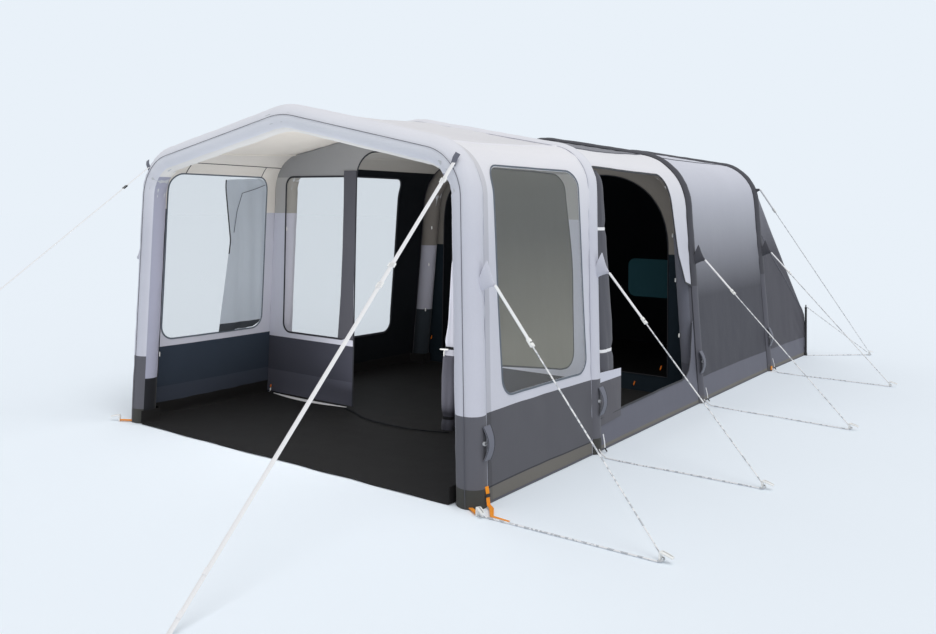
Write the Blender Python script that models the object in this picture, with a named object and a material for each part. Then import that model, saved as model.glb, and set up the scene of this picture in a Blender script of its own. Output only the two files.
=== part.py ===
"""An inflatable family tunnel tent, pitched: an open porch, a living space with a side door, and a bedroom.

Four arch sleeves, each round its own air tube, carry the roof and wall sheets. The rear cover slopes
down to two short poles. Guylines run from the arches to pegs and back along the ground to the feet.
Lengths are in metres. The tent stands on z = 0, its length lies along Y and its open mouth faces -Y.
"""

import math
from dataclasses import dataclass

import bmesh
import bpy
from mathutils import Matrix, Vector

# Clearance between pieces that touch, and how far a cutter runs past what it cuts
CLEARANCE = 0.0003
OVERRUN = 0.08

# Arches: sleeve and air tube sections, bays between the arches' middle planes
SLEEVE_WIDTH = 0.150
SLEEVE_DEPTH = 0.165
SLEEVE_WALL = 0.003
TUBE_WALL = 0.004
TUBE_LIFT = 0.030
PORCH_BAY = 1.230
LIVING_BAY = 1.780
BEDROOM_BAY = 1.740
REAR_BAY = 1.160
RIDGE_ROUND = 0.550
REAR_HALF_WIDTH = 1.485
REAR_HEIGHT = 0.505

# How far each arch's feet stand in from the rear edge's, and how far its corners lean in from its feet
FRONT_INSET_WIDTH, FRONT_LEAN_WIDTH = 0.030, 0.067
PORCH_INSET_WIDTH, PORCH_LEAN_WIDTH = 0.025, 0.055
LIVING_INSET_WIDTH, LIVING_LEAN_WIDTH = 0.030, 0.145
BEDROOM_INSET_WIDTH, BEDROOM_LEAN_WIDTH = 0.025, 0.160
REAR_LEAN_WIDTH, INNER_LEAN_WIDTH = 0.010, 0.010

# Each arch's corner and ridge heights, and the radius of its shoulders
FRONT_CORNER_HEIGHT, FRONT_RIDGE_HEIGHT, FRONT_SHOULDER_RADIUS = 1.810, 2.100, 0.350
PORCH_CORNER_HEIGHT, PORCH_RIDGE_HEIGHT, PORCH_SHOULDER_RADIUS = 1.860, 2.120, 0.300
LIVING_CORNER_HEIGHT, LIVING_RIDGE_HEIGHT, LIVING_SHOULDER_RADIUS = 1.900, 2.120, 0.480
BEDROOM_CORNER_HEIGHT, BEDROOM_RIDGE_HEIGHT, BEDROOM_SHOULDER_RADIUS = 1.905, 2.125, 0.400
REAR_CORNER_HEIGHT, REAR_SHOULDER_RADIUS = 0.490, 0.090
INNER_CORNER_HEIGHT = 0.620

# Sheets: the depth of their outer face under the arches' outer line, and their sag between arches
SHEET_DEPTH = 0.025
SHEET = 0.004
PORCH_SAG = 0.012
LIVING_SAG = 0.014
BEDROOM_SAG = 0.012
REAR_SAG = 0.006
SEAM_SHARE = 0.003
LEG_SPLIT_SHARES = (0.3, 0.65)

# Windows: where they start and end behind the front arch, their low and high edges, and a corner radius
PORCH_RIGHT_WINDOW = (0.120, 1.080, 0.630, 1.700)
PORCH_LEFT_WINDOW = (0.080, 0.960, 0.560, 1.680)
LIVING_WINDOW = (1.345, 2.580, 0.335, 1.735)
WINDOW_CORNER = 0.090

# Side door in the right living wall
DOOR_SILL_HEIGHT = 0.370
DOOR_HEAD_HEIGHT = 1.750
DOOR_STRIP_WIDTH = 0.085
DOOR_STRIP_END = 0.980
DOOR_STRIP_SLANT = 0.070
DOOR_CORNER = 0.120

# Partition between porch and living space; its window's left, right, low and high edges
PARTITION_LIFT = 0.018
PARTITION_WINDOW = (-1.255, -0.575, 0.500, 1.700)
PARTITION_WINDOW_CORNER = 0.070
PARTITION_DOOR_LEFT, PARTITION_DOOR_RIGHT = -0.510, 0.380
PARTITION_DOOR_HEIGHT = 1.880
PARTITION_DOOR_CORNER = 0.180

# Bedroom: the inner tent behind the third arch
INNER_FRONT_GAP = 0.010
INNER_FRONT_DEPTH = 0.100
INNER_DEPTH = 0.190
INNER_BACK = 5.580
INNER_HALF_WIDTH = 1.250
INNER_REAR_HEIGHT = 0.640
INNER_REAR_ROUND = 0.150
BEDROOM_DOOR_NEAR = 0.060
BEDROOM_DOOR_FAR_RIGHT = 1.110
BEDROOM_DOOR_FAR_LEFT = 1.170
BEDROOM_DOOR_LOW = 0.140
BEDROOM_DOOR_HIGH = 1.780
BEDROOM_DOOR_CURVE = 0.640
BEDROOM_CURVE_RIGHT_SHARE = 2.3
BEDROOM_CURVE_LEFT_SHARE = 4.0

# Groundsheets with a lip up each wall
GROUNDSHEET = 0.003
LIP_HEIGHT = 0.090
LEG_GAP = 0.002

# Rear poles, turned: a ferrule, the tube and a tip
POLE_RADIUS = 0.011
POLE_FERRULE = 0.014
POLE_FERRULE_HEIGHT = 0.030
POLE_TAPER = 0.004
POLE_HEIGHT = 0.500
POLE_TIP = 0.006
POLE_TIP_HEIGHT = 0.025
POLE_INSET = 0.030

# Guy tabs on the sleeves: tip height, reach from the sleeve, and size
TAB_REACH = 0.075
TAB_RISE = 0.100
TAB_TIP = 0.018
TAB_WIDTH = 0.024
TAB_ROOT = 0.0015
TAB_HEIGHT = 1.100
SHOULDER_TAB_HEIGHT = 1.690
SHOULDER_TAB_REACH = 0.035

# Webbing from the front feet to their pegs
FOOT_LOOP_WIDTH = 0.020
FOOT_LOOP = 0.003
FOOT_LOOP_LIFT = 0.006
FRONT_PEG_ASIDE, FRONT_PEG_AHEAD = 0.028, 0.106
FRONT_REACH = 0.1124

# Valves in the right legs: a neck on the air tube, under a flap hinged at its top edge
VALVE_HEIGHT = 0.315
VALVE_BORE = 0.006
VALVE_NECK = 0.011
VALVE_REACH = 0.008
VALVE_HOLE_GAP = 0.0005
FLAP_TOP = 0.400
FLAP_LENGTH = 0.170
FLAP_WIDTH = 0.070
FLAP_THICKNESS = 0.003
FLAP_BULGE = 0.028
FLAP_ASIDE = 0.020

# Zip on the front left leg, where a front panel fastens, with its slider
ZIP_WIDTH = 0.012
ZIP_THICKNESS = 0.003
ZIP_DEPTH = 0.110
ZIP_LOW = 0.300
ZIP_HIGH = 1.450
SLIDER_HEIGHT = 0.030
SLIDER_WALL = 0.003
SLIDER_AT = 0.450

# Blind behind the right porch window, and the curtain that hangs half across the left one
BLIND_FRONT, BLIND_REAR = 0.100, 1.020
BLIND_LOW, BLIND_HIGH = 0.740, 1.720
BLIND = 0.002
CURTAIN_FRONT, CURTAIN_REAR = 0.610, 0.955
CURTAIN_LOW, CURTAIN_HIGH = 0.545, 1.670
CURTAIN_FLARE = 0.045
CURTAIN = 0.003
CURTAIN_GAP = 0.0009
FOLD_DEPTH = 0.014
FOLD_WIDTH = 0.095

# Rolled side door and rolled partition door: half sizes, heights and places
DOOR_ROLL_HALF_X, DOOR_ROLL_HALF_Y = 0.036, 0.056
DOOR_ROLL_HIGH = 1.735
DOOR_ROLL_DEPTH = 0.060
PARTITION_ROLL_HALF_X, PARTITION_ROLL_HALF_Y = 0.050, 0.042
PARTITION_ROLL_X, PARTITION_ROLL_LEAN = 0.390, 0.090
PARTITION_ROLL_HIGH = 1.800
FOLD_SHARE = 0.07

# Ropes and straps
ROPE_RADIUS = 0.004
ROPE_LOOP = 0.0165
LOOP_HEIGHT = 0.0165
REAR_LOOP_HEIGHT = 0.0132
ROPE_GROUND = 0.0048
ROPE_APPROACH = 0.055
BEND_REACH = 0.066
STRAP_WIDTH = 0.025
STRAP = 0.0025
RING_RADIUS = 0.022
RING_WIRE = 0.003

# Pegs above the ground: neck and hooked head
PEG_NECK = 0.008
PEG_RISE = 0.036
PEG_HEAD = 0.060
PEG_HEAD_DEPTH = 0.011
PEG_DROP = 0.012
PEG_HEEL = 0.008

# Tensioners on the guys and the buckle on the storm strap
TENSIONER_LENGTH = 0.045
TENSIONER_WIDTH = 0.024
TENSIONER_THICKNESS = 0.013
TENSIONER_GAP = 0.0006
BUCKLE_LENGTH = 0.022
BUCKLE_WIDTH = 0.040
BUCKLE_THICKNESS = 0.010
BUCKLE_GAP = 0.0008

# A tensioner's outline in half widths and half thicknesses
TENSIONER_OUTLINE_SHARES = (
    (1, -0.5),
    (1, 0.5),
    (0.75, 1),
    (0, 1),
    (-0.75, 1),
    (-1, 0.5),
    (-1, -0.5),
    (-0.75, -1),
    (0, -1),
    (0.75, -1),
)

# A roll's rings: how far up they are, and how full the roll is there
ROLL_HEIGHT_SHARES = (0.0, 0.06, 0.19, 0.26, 0.42, 0.58, 0.74, 0.82, 0.97, 1.0)
ROLL_FULL_SHARES = (0.86, 1.0, 0.80, 1.0, 0.94, 1.0, 0.78, 0.96, 0.90, 0.60)

# Counts
SLEEVE_SIDES = 12
TUBE_SIDES = 8
SHOULDER_STEPS = 4
RIDGE_STEPS = 2
SHEET_STEPS = 4
CORNER_STEPS = 4
FLAP_STEPS = 6
ROUND_SIDES = 12
FOLD_POINTS = 6
BUNDLE_SIDES = 12
BEND_STEPS = 3
LOOP_STEPS = 4
FRONT_FACET = 4
RIGHT, LEFT = 1, -1
SQUARE = ((1, 1), (-1, 1), (-1, -1), (1, -1))


@dataclass(frozen=True)
class Arch:
    """The outer line of an arch, or of a sheet's rear edge, in its plane across the tent."""

    back: float
    foot: float
    corner: float
    corner_height: float
    apex: float
    shoulder: float

    @property
    def y(self):
        return self.back - MIDDLE


MIDDLE = (PORCH_BAY + LIVING_BAY + BEDROOM_BAY + REAR_BAY - FRONT_REACH) / 2
LIVING_BACK = PORCH_BAY + LIVING_BAY
BEDROOM_BACK = LIVING_BACK + BEDROOM_BAY
REAR_BACK = BEDROOM_BACK + REAR_BAY



def arch_shape(back, foot, lean, corner_height, apex, shoulder):
    return Arch(back, foot, foot - lean, corner_height, apex, shoulder)


FRONT_ARCH = arch_shape(
    0.0,
    REAR_HALF_WIDTH - FRONT_INSET_WIDTH,
    FRONT_LEAN_WIDTH,
    FRONT_CORNER_HEIGHT,
    FRONT_RIDGE_HEIGHT,
    FRONT_SHOULDER_RADIUS,
)
PORCH_ARCH = arch_shape(
    PORCH_BAY,
    REAR_HALF_WIDTH - PORCH_INSET_WIDTH,
    PORCH_LEAN_WIDTH,
    PORCH_CORNER_HEIGHT,
    PORCH_RIDGE_HEIGHT,
    PORCH_SHOULDER_RADIUS,
)
LIVING_ARCH = arch_shape(
    LIVING_BACK,
    REAR_HALF_WIDTH - LIVING_INSET_WIDTH,
    LIVING_LEAN_WIDTH,
    LIVING_CORNER_HEIGHT,
    LIVING_RIDGE_HEIGHT,
    LIVING_SHOULDER_RADIUS,
)
BEDROOM_ARCH = arch_shape(
    BEDROOM_BACK,
    REAR_HALF_WIDTH - BEDROOM_INSET_WIDTH,
    BEDROOM_LEAN_WIDTH,
    BEDROOM_CORNER_HEIGHT,
    BEDROOM_RIDGE_HEIGHT,
    BEDROOM_SHOULDER_RADIUS,
)
ARCHES = (FRONT_ARCH, PORCH_ARCH, LIVING_ARCH, BEDROOM_ARCH)
REAR_EDGE = arch_shape(
    REAR_BACK, REAR_HALF_WIDTH, REAR_LEAN_WIDTH, REAR_CORNER_HEIGHT, REAR_HEIGHT, REAR_SHOULDER_RADIUS
)
INNER_REAR = arch_shape(
    INNER_BACK, INNER_HALF_WIDTH, INNER_LEAN_WIDTH, INNER_CORNER_HEIGHT, INNER_REAR_HEIGHT, INNER_REAR_ROUND
)
WIDEST = max(arch.foot for arch in (*ARCHES, REAR_EDGE))

# Places on a sheet's line across the tent, counted from the right foot to the left one
SHOULDER_TOP = 2 + len(LEG_SPLIT_SHARES) + SHOULDER_STEPS
LEFT_SHOULDER_TOP = SHOULDER_TOP + RIDGE_STEPS + 2
LAST_STATION = LEFT_SHOULDER_TOP + SHOULDER_TOP
SHEET_INNER = SHEET_DEPTH + SHEET
PEG_WIDTH = 2 * math.sqrt((ROPE_LOOP - ROPE_RADIUS - 2 * CLEARANCE) ** 2 - (PEG_NECK / 2) ** 2)

# Pegs on the ground, by the arches, beside the rear corner and at the front feet
PEG_PLACES = {
    "peg_1": (2.406, -0.080),
    "peg_2": (2.453, 1.175),
    "peg_3": (2.539, 2.842),
    "peg_4": (2.480, 4.660),
    "peg_rear": (2.000, 6.330),
    "peg_front_right": (FRONT_ARCH.foot + FRONT_PEG_ASIDE, -FRONT_PEG_AHEAD),
    "peg_front_left": (-FRONT_ARCH.foot - FRONT_PEG_ASIDE, -FRONT_PEG_AHEAD),
}

# Storm straps: where they leave the front arch's shoulders, and where they meet the ground ahead of it
RIGHT_STRAP_TOP, RIGHT_STRAP_END = (1.284, -0.0751, 1.712), (1.330, -1.740)
LEFT_STRAP_TOP, LEFT_STRAP_END = (-1.290, -0.0652, 1.725), (-1.700, -2.000)

# How far down its rope or strap each tensioner and the buckle sits
TENSIONER_SHARES = {"guy_1": 0.25, "guy_2": 0.26, "guy_3": 0.22, "guy_4": 0.17}
BUCKLE_SHARE = 0.29


def clear_scene():
    for item in list(bpy.data.objects):
        bpy.data.objects.remove(item)


def material(name, colour, roughness, metallic=0.0, alpha=1.0):
    """A Principled material, made once for each name."""
    made = bpy.data.materials.get(name)
    if made is None:
        made = bpy.data.materials.new(name)
        made.use_nodes = True
        shader = made.node_tree.nodes["Principled BSDF"]
        shader.inputs["Base Color"].default_value = (*colour, 1.0)
        shader.inputs["Roughness"].default_value = roughness
        shader.inputs["Metallic"].default_value = metallic
        shader.inputs["Alpha"].default_value = alpha
    return made


def light_fabric():
    return material("light_fabric", (0.60, 0.61, 0.70), 0.75)


def dark_fabric():
    return material("dark_fabric", (0.11, 0.11, 0.13), 0.70)


def door_fabric():
    return material("door_fabric", (0.16, 0.16, 0.19), 0.75)


def inner_fabric():
    return material("inner_fabric", (0.012, 0.013, 0.018), 0.90)


def floor_fabric():
    return material("floor_fabric", (0.022, 0.021, 0.020), 0.65)


def pane_film():
    return material("pane_film", (0.80, 0.84, 0.86), 0.08, alpha=0.25)


def blind_fabric():
    return material("blind_fabric", (0.36, 0.36, 0.34), 0.80)


def tube_film():
    return material("tube_film", (0.45, 0.47, 0.50), 0.40)


def webbing():
    return material("webbing", (0.85, 0.85, 0.85), 0.80)


def black_plastic():
    return material("black_plastic", (0.02, 0.02, 0.02), 0.45)


def white_plastic():
    return material("white_plastic", (0.85, 0.85, 0.83), 0.40)


def steel():
    return material("steel", (0.60, 0.60, 0.58), 0.35, metallic=1.0)


def add_mesh(name, points, faces, look, smooth_angle=None):
    """A closed mesh object with its faces turned out."""
    mesh = bpy.data.meshes.new(name)
    mesh.from_pydata([tuple(point) for point in points], [], faces)
    shaped = bmesh.new()
    shaped.from_mesh(mesh)
    bmesh.ops.recalc_face_normals(shaped, faces=shaped.faces)
    shaped.to_mesh(mesh)
    shaped.free()
    if smooth_angle is not None:
        mesh.shade_smooth()
        mesh.set_sharp_from_angle(angle=smooth_angle)
    added = bpy.data.objects.new(name, mesh)
    bpy.context.collection.objects.link(added)
    if look is not None:
        mesh.materials.append(look)
    return added


def put_origin(piece, origin):
    """Moves a piece's origin, and leaves the piece where it is."""
    piece.data.transform(Matrix.Translation(-Vector(origin)))
    piece.location = origin


def combine(piece, tool, operation):
    """Joins or cuts a piece with a tool that the model itself leaves out."""
    change = piece.modifiers.new(tool.name, "BOOLEAN")
    change.operation = operation
    change.solver = "EXACT"
    change.object = tool
    tool.hide_render = True
    tool.display_type = "WIRE"


def split_face(here, after, far_after, far):
    """A four-cornered face as two triangles, all cut the same way so that layers lie parallel."""
    return [(here, after, far_after), (here, far_after, far)]


def round_faces(rings, count):
    """Faces round a row of closed rings of the same count of points."""
    faces = []
    for ring in range(rings - 1):
        for place in range(count):
            here, after = ring * count + place, ring * count + (place + 1) % count
            faces += split_face(here, after, after + count, here + count)
    return faces


def add_loft(name, rings, look, smooth_angle=None):
    """A solid through closed rings, capped at both ends."""
    count = len(rings[0])
    faces = round_faces(len(rings), count)
    faces.append(tuple(range(count)))
    faces.append(tuple((len(rings) - 1) * count + place for place in range(count)))
    return add_mesh(name, [point for ring in rings for point in ring], faces, look, smooth_angle)


def add_pipe(name, outer, inner, look, smooth_angle=None):
    """A hollow body between outer and inner rings, open at both ends."""
    rings, count = len(outer), len(outer[0])
    inside = rings * count
    faces = round_faces(rings, count)
    faces += [tuple(inside + corner for corner in face) for face in round_faces(rings, count)]
    for ring in (0, rings - 1):
        for place in range(count):
            here, after = ring * count + place, ring * count + (place + 1) % count
            faces.append((here, after, inside + after, inside + here))
    return add_mesh(name, [point for ring in outer + inner for point in ring], faces, look, smooth_angle)


def sheet_faces(rows, count, capped):
    """Faces of a sheet with an outer and an inner side, open along its first row and its two sides."""
    inside = rows * count
    faces = []
    for row in range(rows - 1):
        for place in range(count - 1):
            here = row * count + place
            for face in split_face(here, here + 1, here + count + 1, here + count):
                faces += [face, tuple(inside + corner for corner in face)]
        for here in (row * count, row * count + count - 1):
            faces.append((here, here + count, inside + here + count, inside + here))
    last = (rows - 1) * count
    for first in (0,) if capped else (0, last):
        for here in range(first, first + count - 1):
            faces.append((here, here + 1, inside + here + 1, inside + here))
    if capped:
        faces.append(tuple(range(last, last + count)))
        faces.append(tuple(range(inside + last, inside + last + count)))
        faces.append((last, last + count - 1, inside + last + count - 1, inside + last))
    return faces


def add_sheet(name, outer, inner, look, capped=False):
    points = [point for row in outer + inner for point in row]
    return add_mesh(name, points, sheet_faces(len(outer), len(outer[0]), capped), look, math.radians(35))


def add_prism(name, outline, axis, low, high, look=None):
    """A solid with an outline in the plane across an axis, between two places on that axis."""
    def place(point, along):
        first, second = point
        return {"x": (along, first, second), "y": (first, along, second), "z": (first, second, along)}[axis]

    return add_loft(name, [[place(point, along) for point in outline] for along in (low, high)], look)


def add_rod(name, start, end, radius, sides, look=None):
    """A straight round bar between two points."""
    start, end = Vector(start), Vector(end)
    turn = (end - start).to_track_quat("Z", "Y")
    circle = [turn @ Vector(point) for point in circle_points(radius, sides)]
    return add_loft(name, [[start + point for point in circle], [end + point for point in circle]], look)


def circle_points(radius, sides):
    turns = [2 * math.pi * side / sides for side in range(sides)]
    return [(radius * math.cos(turn), radius * math.sin(turn), 0) for turn in turns]


def rounded_rectangle(left, right, low, high, radius):
    corners = (
        (right - radius, high - radius, 0),
        (left + radius, high - radius, math.pi / 2),
        (left + radius, low + radius, math.pi),
        (right - radius, low + radius, 3 * math.pi / 2),
    )
    return [
        (across + radius * math.cos(start + turn), up + radius * math.sin(start + turn))
        for across, up, start in corners
        for turn in (math.pi / 2 * step / CORNER_STEPS for step in range(CORNER_STEPS + 1))
    ]


def section(sides, width, depth, on_flats):
    """Points of a tube's section: across the sleeve, and down from its outer line."""
    half = math.pi / sides
    grow = 1 / math.cos(half) if on_flats else 1
    turns = [(2 * side + 1) * half for side in range(sides)]
    across, down = grow * width / 2, grow * depth / 2
    return [(math.cos(turn) * across, depth / 2 - math.sin(turn) * down) for turn in turns]


def arch_line(arch, down, floor=0.0):
    """An arch's line a distance in from its outer line, from the right foot to the left one."""
    leg = Vector((arch.corner - arch.foot, arch.corner_height)).normalized()
    slope = Vector((-arch.corner, arch.apex - arch.corner_height)).normalized()
    leg_in, slope_in = Vector((-leg.y, leg.x)), Vector((-slope.y, slope.x))
    foot = Vector((arch.foot, 0)) + leg_in * down
    right = [foot + leg * ((floor - foot.y) / leg.y)]
    turn = math.acos(leg.dot(slope))
    bend = Vector((arch.corner, arch.corner_height)) - leg * arch.shoulder * math.tan(turn / 2)
    centre = bend + leg_in * arch.shoulder
    start = math.atan2(-leg_in.y, -leg_in.x)
    for step in range(SHOULDER_STEPS + 1):
        angle = start + turn * step / SHOULDER_STEPS
        right.append(centre + (arch.shoulder - down) * Vector((math.cos(angle), math.sin(angle))))
    half = math.atan2(arch.apex - arch.corner_height, arch.corner)
    centre = Vector((0, arch.apex)) - slope * RIDGE_ROUND * math.tan(half) + slope_in * RIDGE_ROUND
    ridge = []
    for step in range(RIDGE_STEPS + 1):
        angle = math.pi / 2 - half + 2 * half * step / RIDGE_STEPS
        reach = RIDGE_ROUND - down
        ridge.append(Vector((reach * math.cos(angle), centre.y + reach * math.sin(angle))))
    return right + ridge + [Vector((-point.x, point.y)) for point in reversed(right)]


def at_station(line, station):
    """A point on a line at a place between its points."""
    first = min(int(station), len(line) - 2)
    return line[first].lerp(line[first + 1], station - first)


def raised(line, height):
    """A line whose two ends are cut off at a height above the ground."""
    up = height / line[1].y
    return [at_station(line, up)] + line[1:-1] + [at_station(line, len(line) - 1 - up)]


def half_width_at(down):
    """Half the sleeve's width at a depth under its outer line, in its upper half."""
    points = section(SLEEVE_SIDES, SLEEVE_WIDTH, SLEEVE_DEPTH, True)
    across = sorted((depth, side) for side, depth in points if side > 0)
    for (low, narrow), (high, wide) in zip(across, across[1:]):
        if low < high and low <= down <= high:
            return narrow + (wide - narrow) * (down - low) / (high - low)
    return SLEEVE_WIDTH / 2


def sheet_span(front, rear):
    """Where a sheet between two arches starts and ends along Y, clear of their sleeves."""
    aside = half_width_at(SHEET_INNER) + CLEARANCE
    return front.y + aside, (rear.y - aside if rear in ARCHES else rear.y)


def hung_line(bay, share, down):
    """The line of a sheet at a share of the way between two arches, where it hangs in a little."""
    front, rear, sag = bay
    hang = down + 4 * share * (1 - share) * sag
    feet = [arch_line(arch, down) for arch in (front, rear)]
    arcs = [arch_line(arch, hang) for arch in (front, rear)]
    line = [first.lerp(last, share) for first, last in zip(*arcs)]
    line[0], line[-1] = (feet[0][place].lerp(feet[1][place], share) for place in (0, -1))
    lip = LIP_HEIGHT / line[1].y
    splits = [lip] + [lip + (1 - lip) * split for split in LEG_SPLIT_SHARES]
    right = [at_station(line, split) for split in splits]
    left = [at_station(line, len(line) - 1 - split) for split in reversed(splits)]
    return line[:1] + right + line[1:-1] + left + line[-1:]


def sheet_line(bay, y, down):
    """The line across the tent, at y, of a sheet that is straight from each of its rows to the next."""
    start, end = sheet_span(*bay[:2])
    steps = min(max((y - start) / (end - start), 0), 1) * SHEET_STEPS
    row = min(int(steps), SHEET_STEPS - 1)
    lines = [hung_line(bay, place / SHEET_STEPS, down) for place in (row, row + 1)]
    return [first.lerp(last, steps - row) for first, last in zip(*lines)]


def wall_x(bay, y, height, down):
    """How far out a side wall is at a height."""
    line = sheet_line(bay, y, down)
    for low, high in zip(line, line[1 : SHOULDER_TOP + 1]):
        if low.y <= height <= high.y:
            return low.lerp(high, (height - low.y) / (high.y - low.y)).x
    return line[SHOULDER_TOP].x


def row_places(bay):
    """Where a sheet's rows are along Y."""
    start, end = sheet_span(*bay[:2])
    return [start + (end - start) * step / SHEET_STEPS for step in range(SHEET_STEPS + 1)]


def sheet_rows(bay, stations, down, end_inset=0.0):
    places = row_places(bay)
    places[-1] -= end_inset
    rows = []
    for y in places:
        line = sheet_line(bay, y, down)
        rows.append([(point.x, y, point.y) for point in (at_station(line, station) for station in stations)])
    return rows


def stations_between(first, last):
    """Every place from one station to another, drawn in a little at a seam with the next sheet."""
    start = first + SEAM_SHARE if first else first
    end = last - SEAM_SHARE if last < LAST_STATION else last
    return [start] + list(range(first + 1, last)) + [end]


def add_bay_sheet(name, bay, places, look, depth=SHEET_DEPTH, thickness=SHEET):
    stations = stations_between(*places)
    outer = sheet_rows(bay, stations, depth)
    inner = sheet_rows(bay, stations, depth + thickness)
    return add_sheet(name, outer, inner, look)


def add_side_prism(name, outline, side):
    """A tool that runs out through a side wall, with its outline along Y and Z."""
    inner, outer = sorted((side * INNER_HALF_WIDTH / 2, side * (WIDEST + OVERRUN)))
    return add_prism(name, outline, "x", inner, outer)


PORCH = (FRONT_ARCH, PORCH_ARCH, PORCH_SAG)
LIVING = (PORCH_ARCH, LIVING_ARCH, LIVING_SAG)
BEDROOM = (LIVING_ARCH, BEDROOM_ARCH, BEDROOM_SAG)
REAR = (BEDROOM_ARCH, REAR_EDGE, REAR_SAG)
RIGHT_WALL = (0, SHOULDER_TOP)
ROOF = (SHOULDER_TOP, LEFT_SHOULDER_TOP)
LEFT_WALL = (LEFT_SHOULDER_TOP, LAST_STATION)


def arch_rings(arch, points, floor=0.0):
    """Rings of a tube's section along an arch."""
    lines = {down: arch_line(arch, down, floor) for _, down in points}
    return [
        [(lines[down][station].x, arch.y + across, lines[down][station].y) for across, down in points]
        for station in range(len(lines[points[0][1]]))
    ]


def leg_frame(arch, height):
    """A point on a right leg's outer line, the way down the leg and the way out from it."""
    line = arch_line(arch, 0)
    point = at_station(line, height / line[1].y)
    down = (line[0] - line[1]).normalized()
    return (
        Vector((point.x, arch.y, point.y)),
        Vector((down.x, 0, down.y)),
        Vector((-down.y, 0, down.x)),
    )


def add_tab(name, arch, height, reach, side):
    """A guy tab that tapers from a leg to its tip, for joining to the sleeve."""
    root, down, out = leg_frame(arch, height)
    low, high = root - out * TAB_ROOT, root - down * TAB_RISE - out * TAB_ROOT
    tip = root + out * reach
    outline = [low + down * TAB_TIP, tip + down * TAB_TIP / 2, tip - down * TAB_TIP / 2, high]
    return add_tab_prism(name, outline, arch, side)


def add_tab_prism(name, outline, arch, side):
    corners = [(side * point.x, point.z) for point in outline]
    return add_prism(name, corners, "y", arch.y - TAB_WIDTH / 2, arch.y + TAB_WIDTH / 2)


def shoulder_root(arch):
    """Where the shoulder tab meets the outer line of an arch."""
    line = arch_line(arch, 0)
    for low, high in zip(line, line[1:]):
        if low.y <= SHOULDER_TAB_HEIGHT <= high.y:
            point = low.lerp(high, (SHOULDER_TAB_HEIGHT - low.y) / (high.y - low.y))
            along = (high - low).normalized()
            return Vector((point.x, arch.y, point.y)), Vector((along.x, 0, along.y))
    raise ValueError("the shoulder tab is above the arch")


def add_shoulder_tab(name, arch, side):
    root, along = shoulder_root(arch)
    out = Vector((along.z, 0, -along.x))
    tip = root + out * SHOULDER_TAB_REACH
    half = along * TAB_TIP
    outline = [root - half - out * TAB_ROOT, tip - half / 2, tip + half / 2, root + half - out * TAB_ROOT]
    return add_tab_prism(name, outline, arch, side)


def foot_facet():
    """The middle of the front outer facet of the first sleeve's right foot, and the way out from it."""
    points = section(SLEEVE_SIDES, SLEEVE_WIDTH, SLEEVE_DEPTH, True)
    first, last = (
        Vector((FRONT_ARCH.foot - down, FRONT_ARCH.y + across, 0))
        for across, down in points[FRONT_FACET : FRONT_FACET + 2]
    )
    run = (last - first).normalized()
    return (first + last) / 2, Vector((-run.y, run.x, 0))


def foot_peg(side):
    return ground_place("peg_front_right" if side == RIGHT else "peg_front_left")


def foot_loop_way(side):
    """The level direction from a front foot to its peg."""
    facet, _ = foot_facet()
    peg = foot_peg(side)
    return Vector((peg.x - side * facet.x, peg.y - facet.y, 0)).normalized()


def add_foot_loop(name, side):
    """Webbing from a front foot to its peg, for joining to the sleeve."""
    facet, out = foot_facet()
    root = Vector((side * (facet.x - out.x * TAB_ROOT), facet.y - out.y * TAB_ROOT, 0))
    run = Vector((-side * out.y, out.x, 0)) * FOOT_LOOP_WIDTH / 2
    way = foot_loop_way(side)
    tip = foot_peg(side) - way * (PEG_NECK / 2 + CLEARANCE)
    across = Vector((-way.y, way.x, 0)) * FOOT_LOOP_WIDTH / 2
    corners = [root + run, root - run]
    tips = [tip - across, tip + across]
    if (corners[1] - tips[0]).length > (corners[1] - tips[1]).length:
        tips.reverse()
    outline = [(point.x, point.y) for point in corners + tips]
    return add_prism(name, outline, "z", FOOT_LOOP_LIFT, FOOT_LOOP_LIFT + FOOT_LOOP)


def add_sleeve(number, arch):
    outer = section(SLEEVE_SIDES, SLEEVE_WIDTH, SLEEVE_DEPTH, True)
    bore = section(SLEEVE_SIDES, SLEEVE_WIDTH - 2 * SLEEVE_WALL, SLEEVE_DEPTH - 2 * SLEEVE_WALL, True)
    inner = [(across, down + SLEEVE_WALL) for across, down in bore]
    look = dark_fabric() if arch in (LIVING_ARCH, BEDROOM_ARCH) else light_fabric()
    sleeve = add_pipe(
        f"sleeve_{number}", arch_rings(arch, outer), arch_rings(arch, inner), look, math.radians(35)
    )
    for side, word in ((RIGHT, "right"), (LEFT, "left")):
        combine(sleeve, add_tab(f"tab_tool_{word}_{number}", arch, TAB_HEIGHT, TAB_REACH, side), "UNION")
        if arch is BEDROOM_ARCH:
            combine(sleeve, add_shoulder_tab(f"shoulder_tool_{word}", arch, side), "UNION")
        if arch is FRONT_ARCH:
            combine(sleeve, add_foot_loop(f"foot_loop_{word}", side), "UNION")
    root, _, out = leg_frame(arch, VALVE_HEIGHT)
    hole = VALVE_NECK + VALVE_HOLE_GAP
    inside = root - out * SLEEVE_DEPTH / 2
    tool = add_rod(f"valve_hole_{number}", inside, root + out * OVERRUN, hole, ROUND_SIDES)
    combine(sleeve, tool, "DIFFERENCE")


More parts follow.
